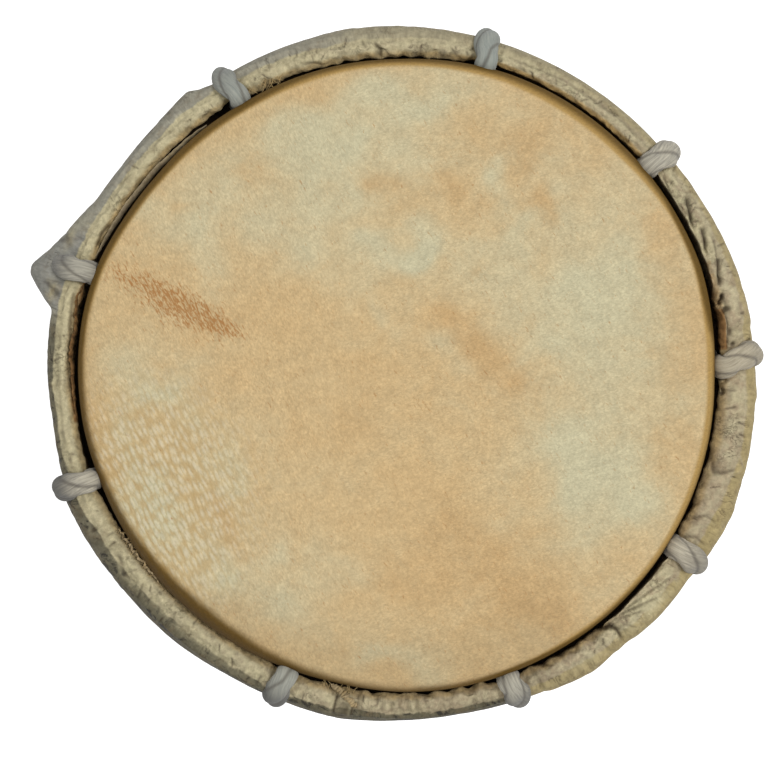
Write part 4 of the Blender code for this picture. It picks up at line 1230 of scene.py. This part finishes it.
def shape_head(item, end):
    """Dent a head, draw its edge to its outline, and paint its patches and its painted shade."""
    spots = spots_of(item)
    x = spots[:, 0] / MM
    y = spots[:, 1] / MM
    radius = np.hypot(x, y)
    angles = np.degrees(np.arctan2(y, x)) % 360.0
    depth = (HEIGHT - spots[:, 2]) / MM if end == UPPER else spots[:, 2] / MM
    band, edge = head_edge(end, angles)
    drawn = (real_radius(edge, 2.6) - HEAD_EDGE) * eased((radius - 54.0) / (HEAD_EDGE - 54.0))
    drawn = drawn * (1.0 - eased((depth - 13.0) / 1.5))
    on_face = 1.0 - eased((depth - 3.0) / 3.0)
    waves = np.sin(x * 0.11 + 1.0) * np.cos(y * 0.13) + 0.6 * np.sin((x + y) * 0.07 + 2.0)
    rolled = span(angles, 195.0, 260.0, 35.0) if end == UPPER else np.zeros_like(x)
    sag = rolled * 0.7 * eased((radius - 56.5) / 7.0)
    sag += 0.10 * (1.0 + waves * 0.5) * (1.0 - eased((radius - 40.0) / 18.0))
    push = drawn / np.maximum(radius, 1.0)
    move_spots(item, spots + np.stack((x * push, y * push, -end * sag * on_face), axis=1) * MM)

    wander = 2.2 * np.sin(x * 0.31 + y * 0.17) + 1.6 * np.sin(y * 0.43 - x * 0.21 + 1.0)
    seen = seen_radius(radius + drawn, depth)
    paint(item, "edge", eased((seen - band + 0.6 + 0.6 * rolled) / (1.3 + 2.2 * rolled)))
    # Painted shade and light on the worn band: darker towards the edge, and by angle darker from 120 to 295
    # degrees, most from 232 to 288, and from 10 to 28, lighter from 325 to 366
    band_side_shade = 0.0 * x
    if end == UPPER:
        band_side_shade = 0.25 * span(angles, 120.0, 295.0, 15.0) + 0.35 * span(angles, 232.0, 288.0, 12.0)
        band_side_shade += 0.30 * span(angles, 10.0, 28.0, 6.0) - 0.35 * span(angles, 325.0, 366.0, 10.0)
    paint(item, "shoulder", np.clip((seen - band) / (edge - band), 0.0, 1.0) + band_side_shade)
    # Painted shade towards the rim, stronger at the lower rim from 238 to 296 degrees
    rim_shade = eased((radius - 18.0) / 44.0)
    if end == UPPER:
        rim_shade += 3.0 * span(angles, 238.0, 296.0, 16.0) * eased((radius - 46.0) / 14.0)
    paint(item, "rim_shade", rim_shade)
    # Painted shade: the skirt goes near black where it drops into the gap, and the rolled edge at the left
    # darkens towards it
    shade = 0.6 * rolled * eased((seen - band - 0.6) / (edge - band))
    paint(item, "deep", np.maximum(0.97 * eased((depth - 2.2) / 2.2), shade))
    if end == LOWER:
        x, y = -y, x
    paint(item, "pale", patch_sum(x + wander, y - wander, PALE_PATCHES))
    paint(item, "tan", patch_sum(x - wander, y + wander, TAN_PATCHES))
    paint(item, "stain", patch_sum(x, y, STAIN_PATCHES) if end == UPPER else 0.0 * x)
    away = np.hypot((x - STREAK_MIDDLE[0]) / STREAK_REACH[0], (y - STREAK_MIDDLE[1]) / STREAK_REACH[1])
    paint(item, "streak", 1.0 - eased((away - 0.35) / 0.75))


def make_head(name, end, nodes, material):
    """A head: one skin turned to its outline, dented and thickened."""
    item = turned(name, head_outline(end), HEAD_STEPS)
    face = min(item.data.polygons, key=lambda polygon: polygon.center.xy.length)
    if face.normal.z * end < 0.0:
        whole_mesh(bpy.ops.mesh.flip_normals)
    shape_head(item, end)
    wall = item.modifiers.new("hide", "SOLIDIFY")
    wall.thickness = scene_settings().skin.thickness
    wall.offset = -1.0
    bpy.ops.object.modifier_apply(modifier=wall.name)
    return finish_piece(item, "drum", nodes, material, SOFT_EDGES)


def lap_points(path):
    """Points in metres at angles, seen radii and depths of the upper lap."""
    return [polar(real_radius(seen, depth) * MM, math.radians(angle), level(UPPER, depth))
            for angle, seen, depth in path]


def paint_strip(item, raw, inner, warm):
    """Even values for the lap's finish on a loose strip."""
    even = np.ones(len(item.data.vertices))
    paint(item, "raw", raw * even)
    paint(item, "inner", inner * even)
    paint(item, "warm", warm * even)


def make_strip(name, path, wide, thick, wave, upright):
    """A torn strip of skin along the lap's inner edge."""
    line = respaced(smoothed(lap_points(path), 3.0 * MM), 0.2 * MM)
    share = np.linspace(0.0, 1.0, len(line))
    still = np.zeros_like(share)
    aside = unit(np.cross(np.gradient(line, axis=0), UP))
    seed = len(line)
    line = line + aside * (wave * MM * ripple(share * 360.0, still, seed, 3, 14))[:, None]
    line = line + UP * (wave * MM * ripple(share * 360.0, still, seed + 1, 3, 14))[:, None]
    taper = np.sin(math.pi * np.clip(share, 0.02, 0.98)) ** 0.4
    rough = min(0.5, 3.0 * wave)
    jagged = 1.0 + rough * ripple(share * 360.0, still, seed + 2, 8, 40)
    width = wide * MM * taper * np.clip(jagged, 0.25, 2.0)
    sides = 12
    item = swept(name, line, UP if upright else aside, width, thick * MM * taper, sides)
    soiled = rough * (0.5 + 0.7 * ripple(share * 360.0, still, seed + 3, 6, 30))
    paint(item, "dirt_and_shade", np.repeat(np.clip(soiled, 0.0, 0.8), sides))
    return item


def make_fibres(name, first, last, seen, count, seed):
    """Loose hairs of the lap's torn edge, joined into one piece."""
    draw = random.Random(seed)
    hairs = []
    for index in range(count):
        angle = draw.uniform(first, last)
        radius = seen + draw.uniform(-0.3, 0.6)
        lean = draw.uniform(-1.5, 1.5)
        path = ((angle, radius + 0.9, 4.4), (angle + lean * 0.2, radius + 0.2, 3.4),
                (angle + lean, radius - draw.uniform(0.2, 1.0), draw.uniform(2.2, 3.4)))
        line = respaced(smoothed(lap_points(path), 3.0 * MM), 0.15 * MM)
        thin = np.linspace(0.16, 0.07, len(line)) * MM
        hairs.append(swept(f"{name}_{index}", line, UP, thin, thin, 6))
    pick(hairs[0])
    for hair in hairs:
        hair.select_set(True)
    bpy.ops.object.join()
    hairs[0].name = name
    hairs[0].data.name = name
    return hairs[0]


# Operators

class DAMARU_OT_stage(bpy.types.Operator):
    """Set the camera over the upper head, with a pale floor and soft light"""
    bl_idname = "damaru.stage"
    bl_label = "Stage"

    def execute(self, context):
        stage = scene_settings().stage
        context.scene.view_settings.view_transform = "Standard"
        bpy.ops.object.select_all(action="DESELECT")
        frame_width = 156.6 * MM
        sensor = 36.0
        middle = (-1.3 * MM, -0.7 * MM, HEIGHT + stage.eye)
        bpy.ops.object.camera_add(location=middle, rotation=(0.0, 0.0, 0.0))
        camera = context.object
        camera.name = "camera"
        camera.data.sensor_width = sensor
        camera.data.lens = sensor * stage.eye / frame_width
        camera.data.clip_start = 0.01
        context.scene.camera = camera
        self.add_floor(context)
        aim = Vector((0.0, 0.0, HEIGHT * 0.7))
        self.add_lamp(
            "key_lamp", aim, azimuth=15.0, elevation=64.0, distance=1.5, size=0.6, power=stage.key_power)
        self.add_lamp(
            "fill_lamp", aim, azimuth=195.0, elevation=72.0, distance=1.3, size=1.0, power=stage.fill_power)
        self.set_sky(context, stage.sky)
        return {"FINISHED"}

    def add_floor(self, context):
        """A pale floor that the camera sees as white, with the drum's shadow on it."""
        bpy.ops.object.select_all(action="DESELECT")
        bpy.ops.mesh.primitive_plane_add(size=6.0, location=(0.0, 0.0, 0.0))
        floor = context.object
        floor.name = "floor"
        bpy.ops.object.mode_set(mode="EDIT")
        bpy.ops.mesh.subdivide(number_cuts=3)
        bpy.ops.object.mode_set(mode="OBJECT")
        material = bpy.data.materials.new("pale_floor")
        material.use_nodes = True
        tree = material.node_tree
        shader = tree.nodes["Principled BSDF"]
        shader.inputs["Base Color"].default_value = (0.5, 0.5, 0.5, 1.0)
        shader.inputs["Roughness"].default_value = 0.9
        shader.inputs["Specular IOR Level"].default_value = 0.0
        glow = put(tree, "ShaderNodeEmission", {"Color": (1.0, 1.0, 1.0, 1.0)})
        tree.links.new(sums(tree, "MULTIPLY", self.seen_ray(tree), 0.86), glow.inputs["Strength"])
        both = put(tree, "ShaderNodeAddShader", {0: shader.outputs["BSDF"], 1: glow.outputs["Emission"]})
        tree.links.new(both.outputs["Shader"], tree.nodes["Material Output"].inputs["Surface"])
        floor.data.materials.append(material)

    def seen_ray(self, tree):
        """1 for what the camera sees, straight on or mirrored, and 0 for the light that falls on the drum."""
        ray = put(tree, "ShaderNodeLightPath").outputs
        mirrored = sums(tree, "MAXIMUM", ray["Is Glossy Ray"], ray["Is Transmission Ray"])
        return sums(tree, "MAXIMUM", ray["Is Camera Ray"], mirrored)

    def add_lamp(self, name, aim, azimuth, elevation, distance, size, power):
        """A round, soft lamp that looks at the aim."""
        lift = math.radians(elevation)
        away = Vector(polar(math.cos(lift), math.radians(azimuth), math.sin(lift)))
        bpy.ops.object.select_all(action="DESELECT")
        bpy.ops.object.light_add(type="AREA", location=aim + away * distance)
        lamp = bpy.context.object
        lamp.name = name
        lamp.data.shape = "DISK"
        lamp.data.size = size
        lamp.data.energy = power
        lamp.rotation_euler = away.to_track_quat("Z", "Y").to_euler()

    def set_sky(self, context, strength):
        """Even light all round, on a white ground."""
        sky = bpy.data.worlds.new("studio")
        context.scene.world = sky
        sky.use_nodes = True
        tree = sky.node_tree
        even = tree.nodes["Background"]
        even.inputs["Color"].default_value = (1.0, 1.0, 1.0, 1.0)
        even.inputs["Strength"].default_value = strength
        white = put(tree, "ShaderNodeBackground", {"Color": (1.0, 1.0, 1.0, 1.0), "Strength": 1.0})
        both = put(tree, "ShaderNodeMixShader", {
            0: self.seen_ray(tree), 1: even.outputs["Background"], 2: white.outputs["Background"]})
        tree.links.new(both.outputs["Shader"], tree.nodes["World Output"].inputs["Surface"])


class DAMARU_OT_finishes(bpy.types.Operator):
    """Build the effects that several finishes share"""
    bl_idname = "damaru.finishes"
    bl_label = "Shared finishes"

    def execute(self, context):
        build_hide_grain()
        build_grime()
        build_yarn_lay()
        build_wood_grain()
        return {"FINISHED"}


class DAMARU_OT_heads(bpy.types.Operator):
    """Stretch the two goat-skin heads over the shell"""
    bl_idname = "damaru.heads"
    bl_label = "Heads"

    def execute(self, context):
        material = head_material()
        make_head("upper_head", UPPER, ("upper_skin",), material)
        make_head("lower_head", LOWER, ("lower_skin",), material)
        return {"FINISHED"}


class DAMARU_OT_laps(bpy.types.Operator):
    """Roll the skins' laps round their hoops"""
    bl_idname = "damaru.laps"
    bl_label = "Laps"

    def execute(self, context):
        material = lap_material()
        make_lap("upper_lap", UPPER, ("upper_skin",), material)
        make_lap("lower_lap", LOWER, ("lower_skin",), material)
        self.add_strips(material)
        return {"FINISHED"}

    def add_strips(self, material):
        """Torn strips and loose hairs along the upper lap's inner edge."""
        strips = (
            ("upper_tail_strip", 3.4, 0.80, 0.03, True, (0.25, 0.3, 0.9), (
                (127.5, 62.9, 5.6), (131.0, 63.1, 4.9), (140.0, 63.5, 4.6), (148.0, 63.95, 4.5),
                (153.0, 64.3, 4.6), (158.5, 64.9, 5.4))),
            ("upper_torn_strip", 2.2, 0.50, 0.12, True, (1.0, 0.6, 0.5), (
                (163.6, 65.2, 4.9), (165.4, 65.9, 4.0), (168.0, 65.9, 3.8), (170.4, 65.2, 4.3),
                (172.5, 65.1, 4.4), (174.0, 65.5, 4.1), (176.5, 65.6, 4.0), (178.4, 65.2, 4.3),
                (181.0, 65.0, 4.6), (184.0, 64.9, 4.8), (188.0, 64.8, 5.4))),
            ("upper_tail_fray", 0.50, 0.35, 0.26, False, (0.35, 0.5, 0.9), (
                (208.5, 63.9, 4.6), (211.0, 63.6, 3.2), (215.0, 63.4, 2.6), (218.0, 63.2, 2.4),
                (221.0, 63.3, 3.6))),
            ("upper_split_tongue", 1.5, 0.50, 0.16, False, (0.30, 0.5, 0.7), (
                (263.0, 67.0, 4.2), (262.0, 66.2, 3.3), (260.6, 64.9, 2.9), (259.0, 63.9, 2.7),
                (257.8, 63.2, 2.8))),
        )
        for name, wide, thick, wave, upright, tones, path in strips:
            item = make_strip(name, path, wide, thick, wave, upright)
            paint_strip(item, *tones)
            finish_piece(item, "drum", ("upper_skin",), material, STRIP_EDGES)
        for name, first, last, seen, count in (
                ("upper_hairs_top", 110.5, 118.0, 63.6, 16), ("upper_hairs_left", 209.0, 223.0, 63.3, 14),
                ("upper_hairs_split", 255.5, 262.0, 63.3, 12)):
            item = make_fibres(name, first, last, seen, count, int(first))
            paint_strip(item, 0.15, 0.7, 0.5)
            finish_piece(item, "drum", ("upper_skin",), material, STRIP_EDGES)


class DAMARU_OT_hoops(bpy.types.Operator):
    """Give the cane hoops their finish"""
    bl_idname = "damaru.hoops"
    bl_label = "Hoops"

    def execute(self, context):
        material = cane_material()
        for node in ("upper_hoop", "lower_hoop"):
            item = frame["nodes"][node]
            item.data.materials.clear()
            item.data.materials.append(material)
        return {"FINISHED"}


class DAMARU_OT_shell(bpy.types.Operator):
    """Turn the wooden hourglass"""
    bl_idname = "damaru.shell"
    bl_label = "Shell"

    def execute(self, context):
        wood = scene_settings().wood
        item = turned("turned_shell", self.outline(wood), 160)
        material = wood_material(
            "turned_hardwood", wood.shell_light, wood.shell_dark, scale=42.0, roughness=0.40)
        finish_piece(item, "drum", ("shell",), material, TURNED_EDGES)
        return {"FINISHED"}

    def outline(self, wood):
        """Half of the section from bowl to neck, then its mirror image."""
        rim_depth = 1.5 * MM
        rim_radius = 62.5 * MM
        edge = 3.4 * MM
        band = 4.8 * MM
        half = []
        rim_rise = MIDDLE - rim_depth
        for step in range(24):
            share = (step + 1) / 24
            rise = wood.bore_length / 2 + (rim_rise - wood.bore_length / 2) * share
            wide = rim_radius - wood.rim_wall - wood.bore_radius
            half.append((wood.bore_radius + wide * share ** 1.12, rise))
        centre = rim_radius - edge
        for step in range(7):
            turn = math.pi / 2 * (1.0 - step / 6)
            half.append((centre + edge * math.cos(turn), rim_rise - edge + edge * math.sin(turn)))
        low = rim_rise - band
        wide = rim_radius + band * math.tan(HOOP_SLANT)
        neck = wood.neck_length / 2
        for step in range(49):
            share = 1.0 - step / 48
            rise = neck + (low - neck) * share
            radius = wood.neck_radius + (wide - wood.neck_radius) * share ** 1.12
            for groove in (0.08, 0.14, 0.62, 0.66, 0.92):
                radius -= 0.45 * MM * math.exp(-((share - groove) / 0.008) ** 2)
            half.append((radius, rise))
        section = [(radius, MIDDLE + rise) for radius, rise in half]
        section += [(radius, MIDDLE - rise) for radius, rise in reversed(half)]
        return section + section[:1]


class DAMARU_OT_lacing(bpy.types.Operator):
    """Lace the two hoops together with one cotton rope, and tie its ends"""
    bl_idname = "damaru.lacing"
    bl_label = "Lacing"

    def execute(self, context):
        rope = scene_settings().rope
        line = respaced(smoothed(self.route(), 4.0 * MM), 0.45 * MM)
        depth = np.minimum(line[:, 2], HEIGHT - line[:, 2])
        line = line[(depth < 17.0 * MM) | (np.arange(len(line)) % 4 == 0)]
        centre = line[:, :3]
        wide, thick, worn, tint = line[:, 3:].T
        item = swept(
            "rope_lacing", centre, round_way(centre), rope.width * wide, rope.thickness * thick,
            ROPE_SIDES, lay=rope.lay, relief=0.08)
        # Painted shade on the loops' tips
        paint(item, "tip", np.repeat(worn, ROPE_SIDES))
        paint(item, "cool", np.repeat(np.maximum(tint, 0.0), ROPE_SIDES))
        paint(item, "mellow", np.repeat(np.maximum(-tint, 0.0), ROPE_SIDES))
        material = cord_material("cotton_rope", rope.lay, soil=0.45)
        finish_piece(item, "drum", ("lacing",), material, SOFT_EDGES)
        angle = UPPER_LOOPS[TIE_LOOP]
        low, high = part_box("lacing_knot")
        knot = tied_knot("rope_tie", (low + high) / 2, reach=4.4 * MM, cord=3.0 * MM, angle=angle)
        finish_piece(knot, "drum", ("lacing_knot",), material, SOFT_EDGES)
        return {"FINISHED"}

    def loop(self, end, index):
        """One loop, from its outer foot over the lap to its inner foot."""
        angle = loops_of(end)[index]
        inner, ridge, outer = (float(values[0]) for values in lap_outline(end, np.array([angle])))
        near, tip, lean, swell, tint = LOOP_REACH[index]
        half = scene_settings().rope.thickness / MM / 2
        tip = real_radius(tip, 8.0) - 2.0 * half
        near = real_radius(near, 2.4) + 1.25 * half
        if end == LOWER:
            tip = outer - 0.6 * half
            near = inner - 0.8
        # Painted shade on the tips: none at 50 degrees, full at 230 degrees, the side away from the light
        shade = 0.5 - 0.5 * math.cos(math.radians(angle - 50.0))
        middle = (inner + ridge) / 2
        # Corners: radius and depth in mm, lean in degrees, width, thickness, and the share of the tip's
        # painted shade
        places = (
            (tip - 0.4, 15.0, 0.0, 0.90, 1.20, 1.0), (tip, 10.8, 0.0, 1.00, 1.80, 1.0),
            (tip - 0.1, 7.6, 0.0, 1.10, 2.00, 1.0), (tip - 1.9, 4.2, 0.0, 1.10, 1.60, 1.0),
            (ridge - 0.6, 3.0, lean / 4, 0.98, 1.25, 0.4), (middle - 0.2, 2.3, lean / 2, 0.90, 1.10, 0.1),
            (inner + 0.7, 1.9, lean, 0.90, 1.15, 0.0), (near, 2.4, lean, 0.94, 1.30, 0.0),
            (near + 0.2, 4.6, lean, 0.94, 1.25, 0.0), (66.2, 9.0, lean, 0.88, 1.10, 0.0),
            (66.6, 14.8, 0.0, 0.84, 1.05, 0.0))
        corners = []
        for radius, depth, shift, wide, thick, worn in places:
            spot = polar(radius * MM, math.radians(angle + shift), level(end, depth))
            corners.append((*spot, wide * swell, thick, worn * shade, tint))
        return corners

    def neck(self, end, first, second):
        """Where a strand runs straight along the shell's neck, under the winding."""
        rise = 17.2 * MM
        radius = scene_settings().wood.neck_radius + 1.5 * MM
        corners = []
        for share, lift in ((0.45, rise), (0.55, -rise)):
            turn = math.radians(first + (second - first) * share)
            corners.append((*polar(radius, turn, MIDDLE + end * lift), 0.84, 1.0, 0.0, 0.0))
        return corners

    def route(self):
        """The rope's corners, from the tie-off round the drum and back to it."""
        count = len(UPPER_LOOPS)
        lower = lower_loops()
        corners = []
        for step in range(count):
            index = (TIE_LOOP + step) % count
            above = UPPER_LOOPS[index]
            below = lower[index]
            beyond = UPPER_LOOPS[(index + 1) % count]
            beyond += 360.0 if beyond < above else 0.0
            corners += self.loop(UPPER, index) + self.neck(UPPER, above, below)
            corners += self.loop(LOWER, index) + self.neck(LOWER, below, beyond)
        return corners + [corners[0]]


def tied_knot(name, middle, reach, cord, angle):
    """A small overhand knot, drawn tight."""
    turn = np.linspace(0.0, math.tau, 72, endpoint=False)
    across = np.sin(turn) + 2.0 * np.sin(2.0 * turn)
    along = np.cos(turn) - 2.0 * np.cos(2.0 * turn)
    points = np.stack((across, along, -np.sin(3.0 * turn)), axis=1)
    scale = (reach - cord / 2) / 3.0
    lie = np.array(Matrix.Rotation(math.radians(angle), 3, "Z") @ Matrix.Rotation(math.radians(80.0), 3, "Y"))
    outward = (points * scale) @ lie.T
    hint = lie @ UP + 0.3 * unit(outward)
    centre = outward + np.array(middle)
    return swept(name, centre, hint, cord, cord, 16, lay=WAIST_LAY, relief=0.05, closed=True)


class DAMARU_OT_waist(bpy.types.Operator):
    """Wind the waist, knot the winding's ends and lay the ring over it"""
    bl_idname = "damaru.waist"
    bl_label = "Waist"

    def execute(self, context):
        cord = scene_settings().rope.cord
        material = cord_material("waist_cotton", WAIST_LAY, soil=0.35)
        centre = self.winding(cord)
        hint = round_way(centre) + UP
        item = swept("waist_winding_cord", centre, hint, cord, cord, 14, lay=WAIST_LAY, relief=0.06)
        finish_piece(item, "drum", ("waist_winding",), material, SOFT_EDGES)
        for node in ("winding_knot_lower", "winding_knot_upper"):
            low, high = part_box(node)
            middle = (low + high) / 2
            angle = math.degrees(math.atan2(middle.y, middle.x))
            knot = tied_knot(node + "_tie", middle, reach=3.0 * MM, cord=2.0 * MM, angle=angle)
            finish_piece(knot, "drum", (node,), material, SOFT_EDGES)
        item = swept(
            "waist_ring_cord", self.ring(), UP, cord, cord, 16, lay=WAIST_LAY, relief=0.06, closed=True)
        finish_piece(item, "drum", ("waist_ring",), material, SOFT_EDGES)
        return {"FINISHED"}

    def winding(self, cord):
        """Six turns round the lacing, with straight ends one diameter long."""
        turns = 6
        radius = 28.5 * MM
        pitch = 3.9 * MM
        turn = np.linspace(0.0, math.tau * turns, turns * 120 + 1)
        rise = pitch * (turn / math.tau - turns / 2)
        points = polar(radius, turn, MIDDLE + rise)
        straight = np.array((0.0, cord, 0.0))
        lead = np.linspace(1.0, 0.0, 4)[:-1, None]
        return np.concatenate((points[0] - lead * straight, points, points[-1] + lead[::-1] * straight))

    def ring(self):
        """A ring on the winding that stands off it where a thong's eye goes round."""
        angles = np.arange(0.0, 360.0, 1.5)
        lift = np.max([1.5 * span(angles, place - 12.0, place + 12.0, 24.0)
                       for place in STRIKER_ANGLES.values()], axis=0)
        return polar((31.8 + lift) * MM, np.radians(angles), MIDDLE)


class DAMARU_OT_strikers(bpy.types.Operator):
    """Hang the two rawhide strikers on the ring, with their beads"""
    bl_idname = "damaru.strikers"
    bl_label = "Strikers"

    def execute(self, context):
        wood = scene_settings().wood
        hide = rawhide_material()
        bead_wood = wood_material(
            "bead_hardwood", wood.bead_light, wood.bead_dark, scale=260.0, roughness=0.34)
        joints = {joint["name"]: joint for joint in frame["joints"]}
        for letter, angle in STRIKER_ANGLES.items():
            pivot = self.in_plane(joints["swing_" + letter]["pos_m"])
            fold = self.in_plane(joints["fold_" + letter]["pos_m"])
            self.make_strap(letter, angle, pivot, fold, hide)
            self.make_bead(letter, bead_wood)
        return {"FINISHED"}

    def in_plane(self, spot):
        """Radius and height of a joint."""
        return np.array((math.hypot(spot[0], spot[1]), spot[2]))

    def bead_middle(self, letter):
        """The middle of a striker's bead."""
        low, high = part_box(f"striker_{letter}_bead")
        return (low + high) / 2

    def make_strap(self, letter, angle, pivot, fold, material):
        """One strap from its eye on the ring, over the fold and through the bead to its knot."""
        striker = scene_settings().striker
        bead = self.in_plane(self.bead_middle(letter))
        down = (fold - pivot) / np.linalg.norm(fold - pivot)
        side = np.array((-down[1], down[0]))
        onward = (bead - fold) / np.linalg.norm(bead - fold)
        loop = 2.4 * MM
        lap = side * 0.62 * MM
        eye_end = pivot + down * 7.5 * MM
        lap_end = pivot + down * 14.0 * MM
        corners = [lap_end + lap, eye_end + lap]
        for step in range(13):
            turn = math.radians(35.0 + 290.0 * step / 12)
            corners.append(pivot + loop * (down * math.cos(turn) + side * math.sin(turn)))
        corners += [eye_end - lap, lap_end - lap, pivot + down * 20.0 * MM, fold, bead]
        corners.append(bead + onward * 9.6 * MM)
        flat = np.array([(x, 0.0, z) for x, z in corners])
        line = respaced(smoothed(flat, 4.0 * MM), 0.5 * MM)
        about_axis = np.array(Matrix.Rotation(math.radians(angle), 3, "Z"))
        bead_place = np.array((bead[0], 0.0, bead[1]))
        from_bead = np.linalg.norm(line - bead_place, axis=1)
        narrow = 1.0 - eased((from_bead - 6.0 * MM) / (5.0 * MM))
        past_bead = (line - bead_place) @ (onward[0], 0.0, onward[1]) > 0.0
        knot = np.exp(-((from_bead - 8.3 * MM) / (1.2 * MM)) ** 2) * past_bead
        width = striker.width + (striker.tip_width - striker.width) * narrow + 1.8 * MM * knot
        thick = striker.thickness + 2.2 * MM * knot
        across = about_axis @ np.array((0.0, 1.0, 0.0))
        item = swept(f"striker_{letter}_strap", line @ about_axis.T, across, width, thick, STRAP_SIDES)
        self.square_edges(item, len(line))
        nodes = (f"striker_{letter}_thong", f"striker_{letter}_tip")
        finish_piece(item, None, nodes, material, STRAP_EDGES)
        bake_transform(item)

    def square_edges(self, item, rings):
        """Turn the strap's oval section into a flat one with rounded edges."""
        spots = spots_of(item).reshape(rings, STRAP_SIDES, 3)
        centre = spots.mean(axis=1, keepdims=True)
        turn = np.arange(STRAP_SIDES) * math.tau / STRAP_SIDES
        quarter = STRAP_SIDES // 4
        broad = (spots[:, 0] - spots[:, 2 * quarter]) / 2
        thin = (spots[:, quarter] - spots[:, 3 * quarter]) / 2
        wide = np.sign(np.cos(turn)) * np.abs(np.cos(turn)) ** 0.35
        high = np.sign(np.sin(turn)) * np.abs(np.sin(turn)) ** 0.35
        flat = centre + broad[:, None, :] * wide[None, :, None] + thin[:, None, :] * high[None, :, None]
        move_spots(item, flat.reshape(-1, 3))
        paint(item, "edge", np.tile(eased((np.abs(wide) - 0.9) / 0.1), rings))

    def make_bead(self, letter, material):
        """A turned bead with a groove round its middle and a hole for the thong."""
        radius = scene_settings().wood.bead_radius
        hole = 2.0 * MM
        outline = []
        first = math.asin(hole / radius)
        for step in range(33):
            turn = first + (math.pi - 2.0 * first) * step / 32
            reach = radius * (1.0 - 0.05 * math.exp(-((turn - math.pi / 2) / 0.09) ** 2))
            outline.append((reach * math.sin(turn), reach * math.cos(turn)))
        outline.append(outline[0])
        item = turned(f"striker_{letter}_turned_bead", outline, 48)
        fold = Vector(next(joint["pos_m"] for joint in frame["joints"] if joint["name"] == "fold_" + letter))
        middle = self.bead_middle(letter)
        lie = (middle - fold).to_track_quat("Z", "Y").to_matrix().to_4x4()
        item.matrix_world = Matrix.Translation(middle) @ lie
        bpy.ops.object.transform_apply(location=True, rotation=True, scale=True)
        finish_piece(item, f"tip_{letter}", (f"striker_{letter}_bead",), material, TURNED_EDGES)


class DAMARU_PT_looks(bpy.types.Panel):
    """Settings of the damaru and the steps that dress it"""
    bl_idname = "DAMARU_PT_looks"
    bl_label = "Damaru"
    bl_space_type = "VIEW_3D"
    bl_region_type = "UI"
    bl_category = "Damaru"

    def draw(self, context):
        settings = context.scene.damaru
        for operator in STEPS:
            self.layout.operator(operator.bl_idname)
        for group in (settings.skin, settings.rope, settings.wood, settings.striker, settings.stage):
            box = self.layout.box()
            for name in group.bl_rna.properties.keys():
                if name not in {"rna_type", "name"}:
                    box.prop(group, name)


STEPS = (
    DAMARU_OT_stage, DAMARU_OT_finishes, DAMARU_OT_shell, DAMARU_OT_heads, DAMARU_OT_laps,
    DAMARU_OT_hoops, DAMARU_OT_lacing, DAMARU_OT_waist, DAMARU_OT_strikers,
)
CLASSES = (
    DamaruSkinSettings, DamaruRopeSettings, DamaruWoodSettings, DamaruStrikerSettings,
    DamaruStageSettings, DamaruSettings, *STEPS, DAMARU_PT_looks,
)


def register():
    for item in CLASSES:
        bpy.utils.register_class(item)
    bpy.types.Scene.damaru = bpy.props.PointerProperty(type=DamaruSettings)


def unregister():
    del bpy.types.Scene.damaru
    for item in reversed(CLASSES):
        bpy.utils.unregister_class(item)


def main():
    register()
    bpy.ops.damaru.stage()
    bpy.ops.damaru.finishes()
    bpy.ops.damaru.shell()
    bpy.ops.damaru.heads()
    bpy.ops.damaru.laps()
    bpy.ops.damaru.hoops()
    bpy.ops.damaru.lacing()
    bpy.ops.damaru.waist()
    bpy.ops.damaru.strikers()


if __name__ == "__main__":
    main()
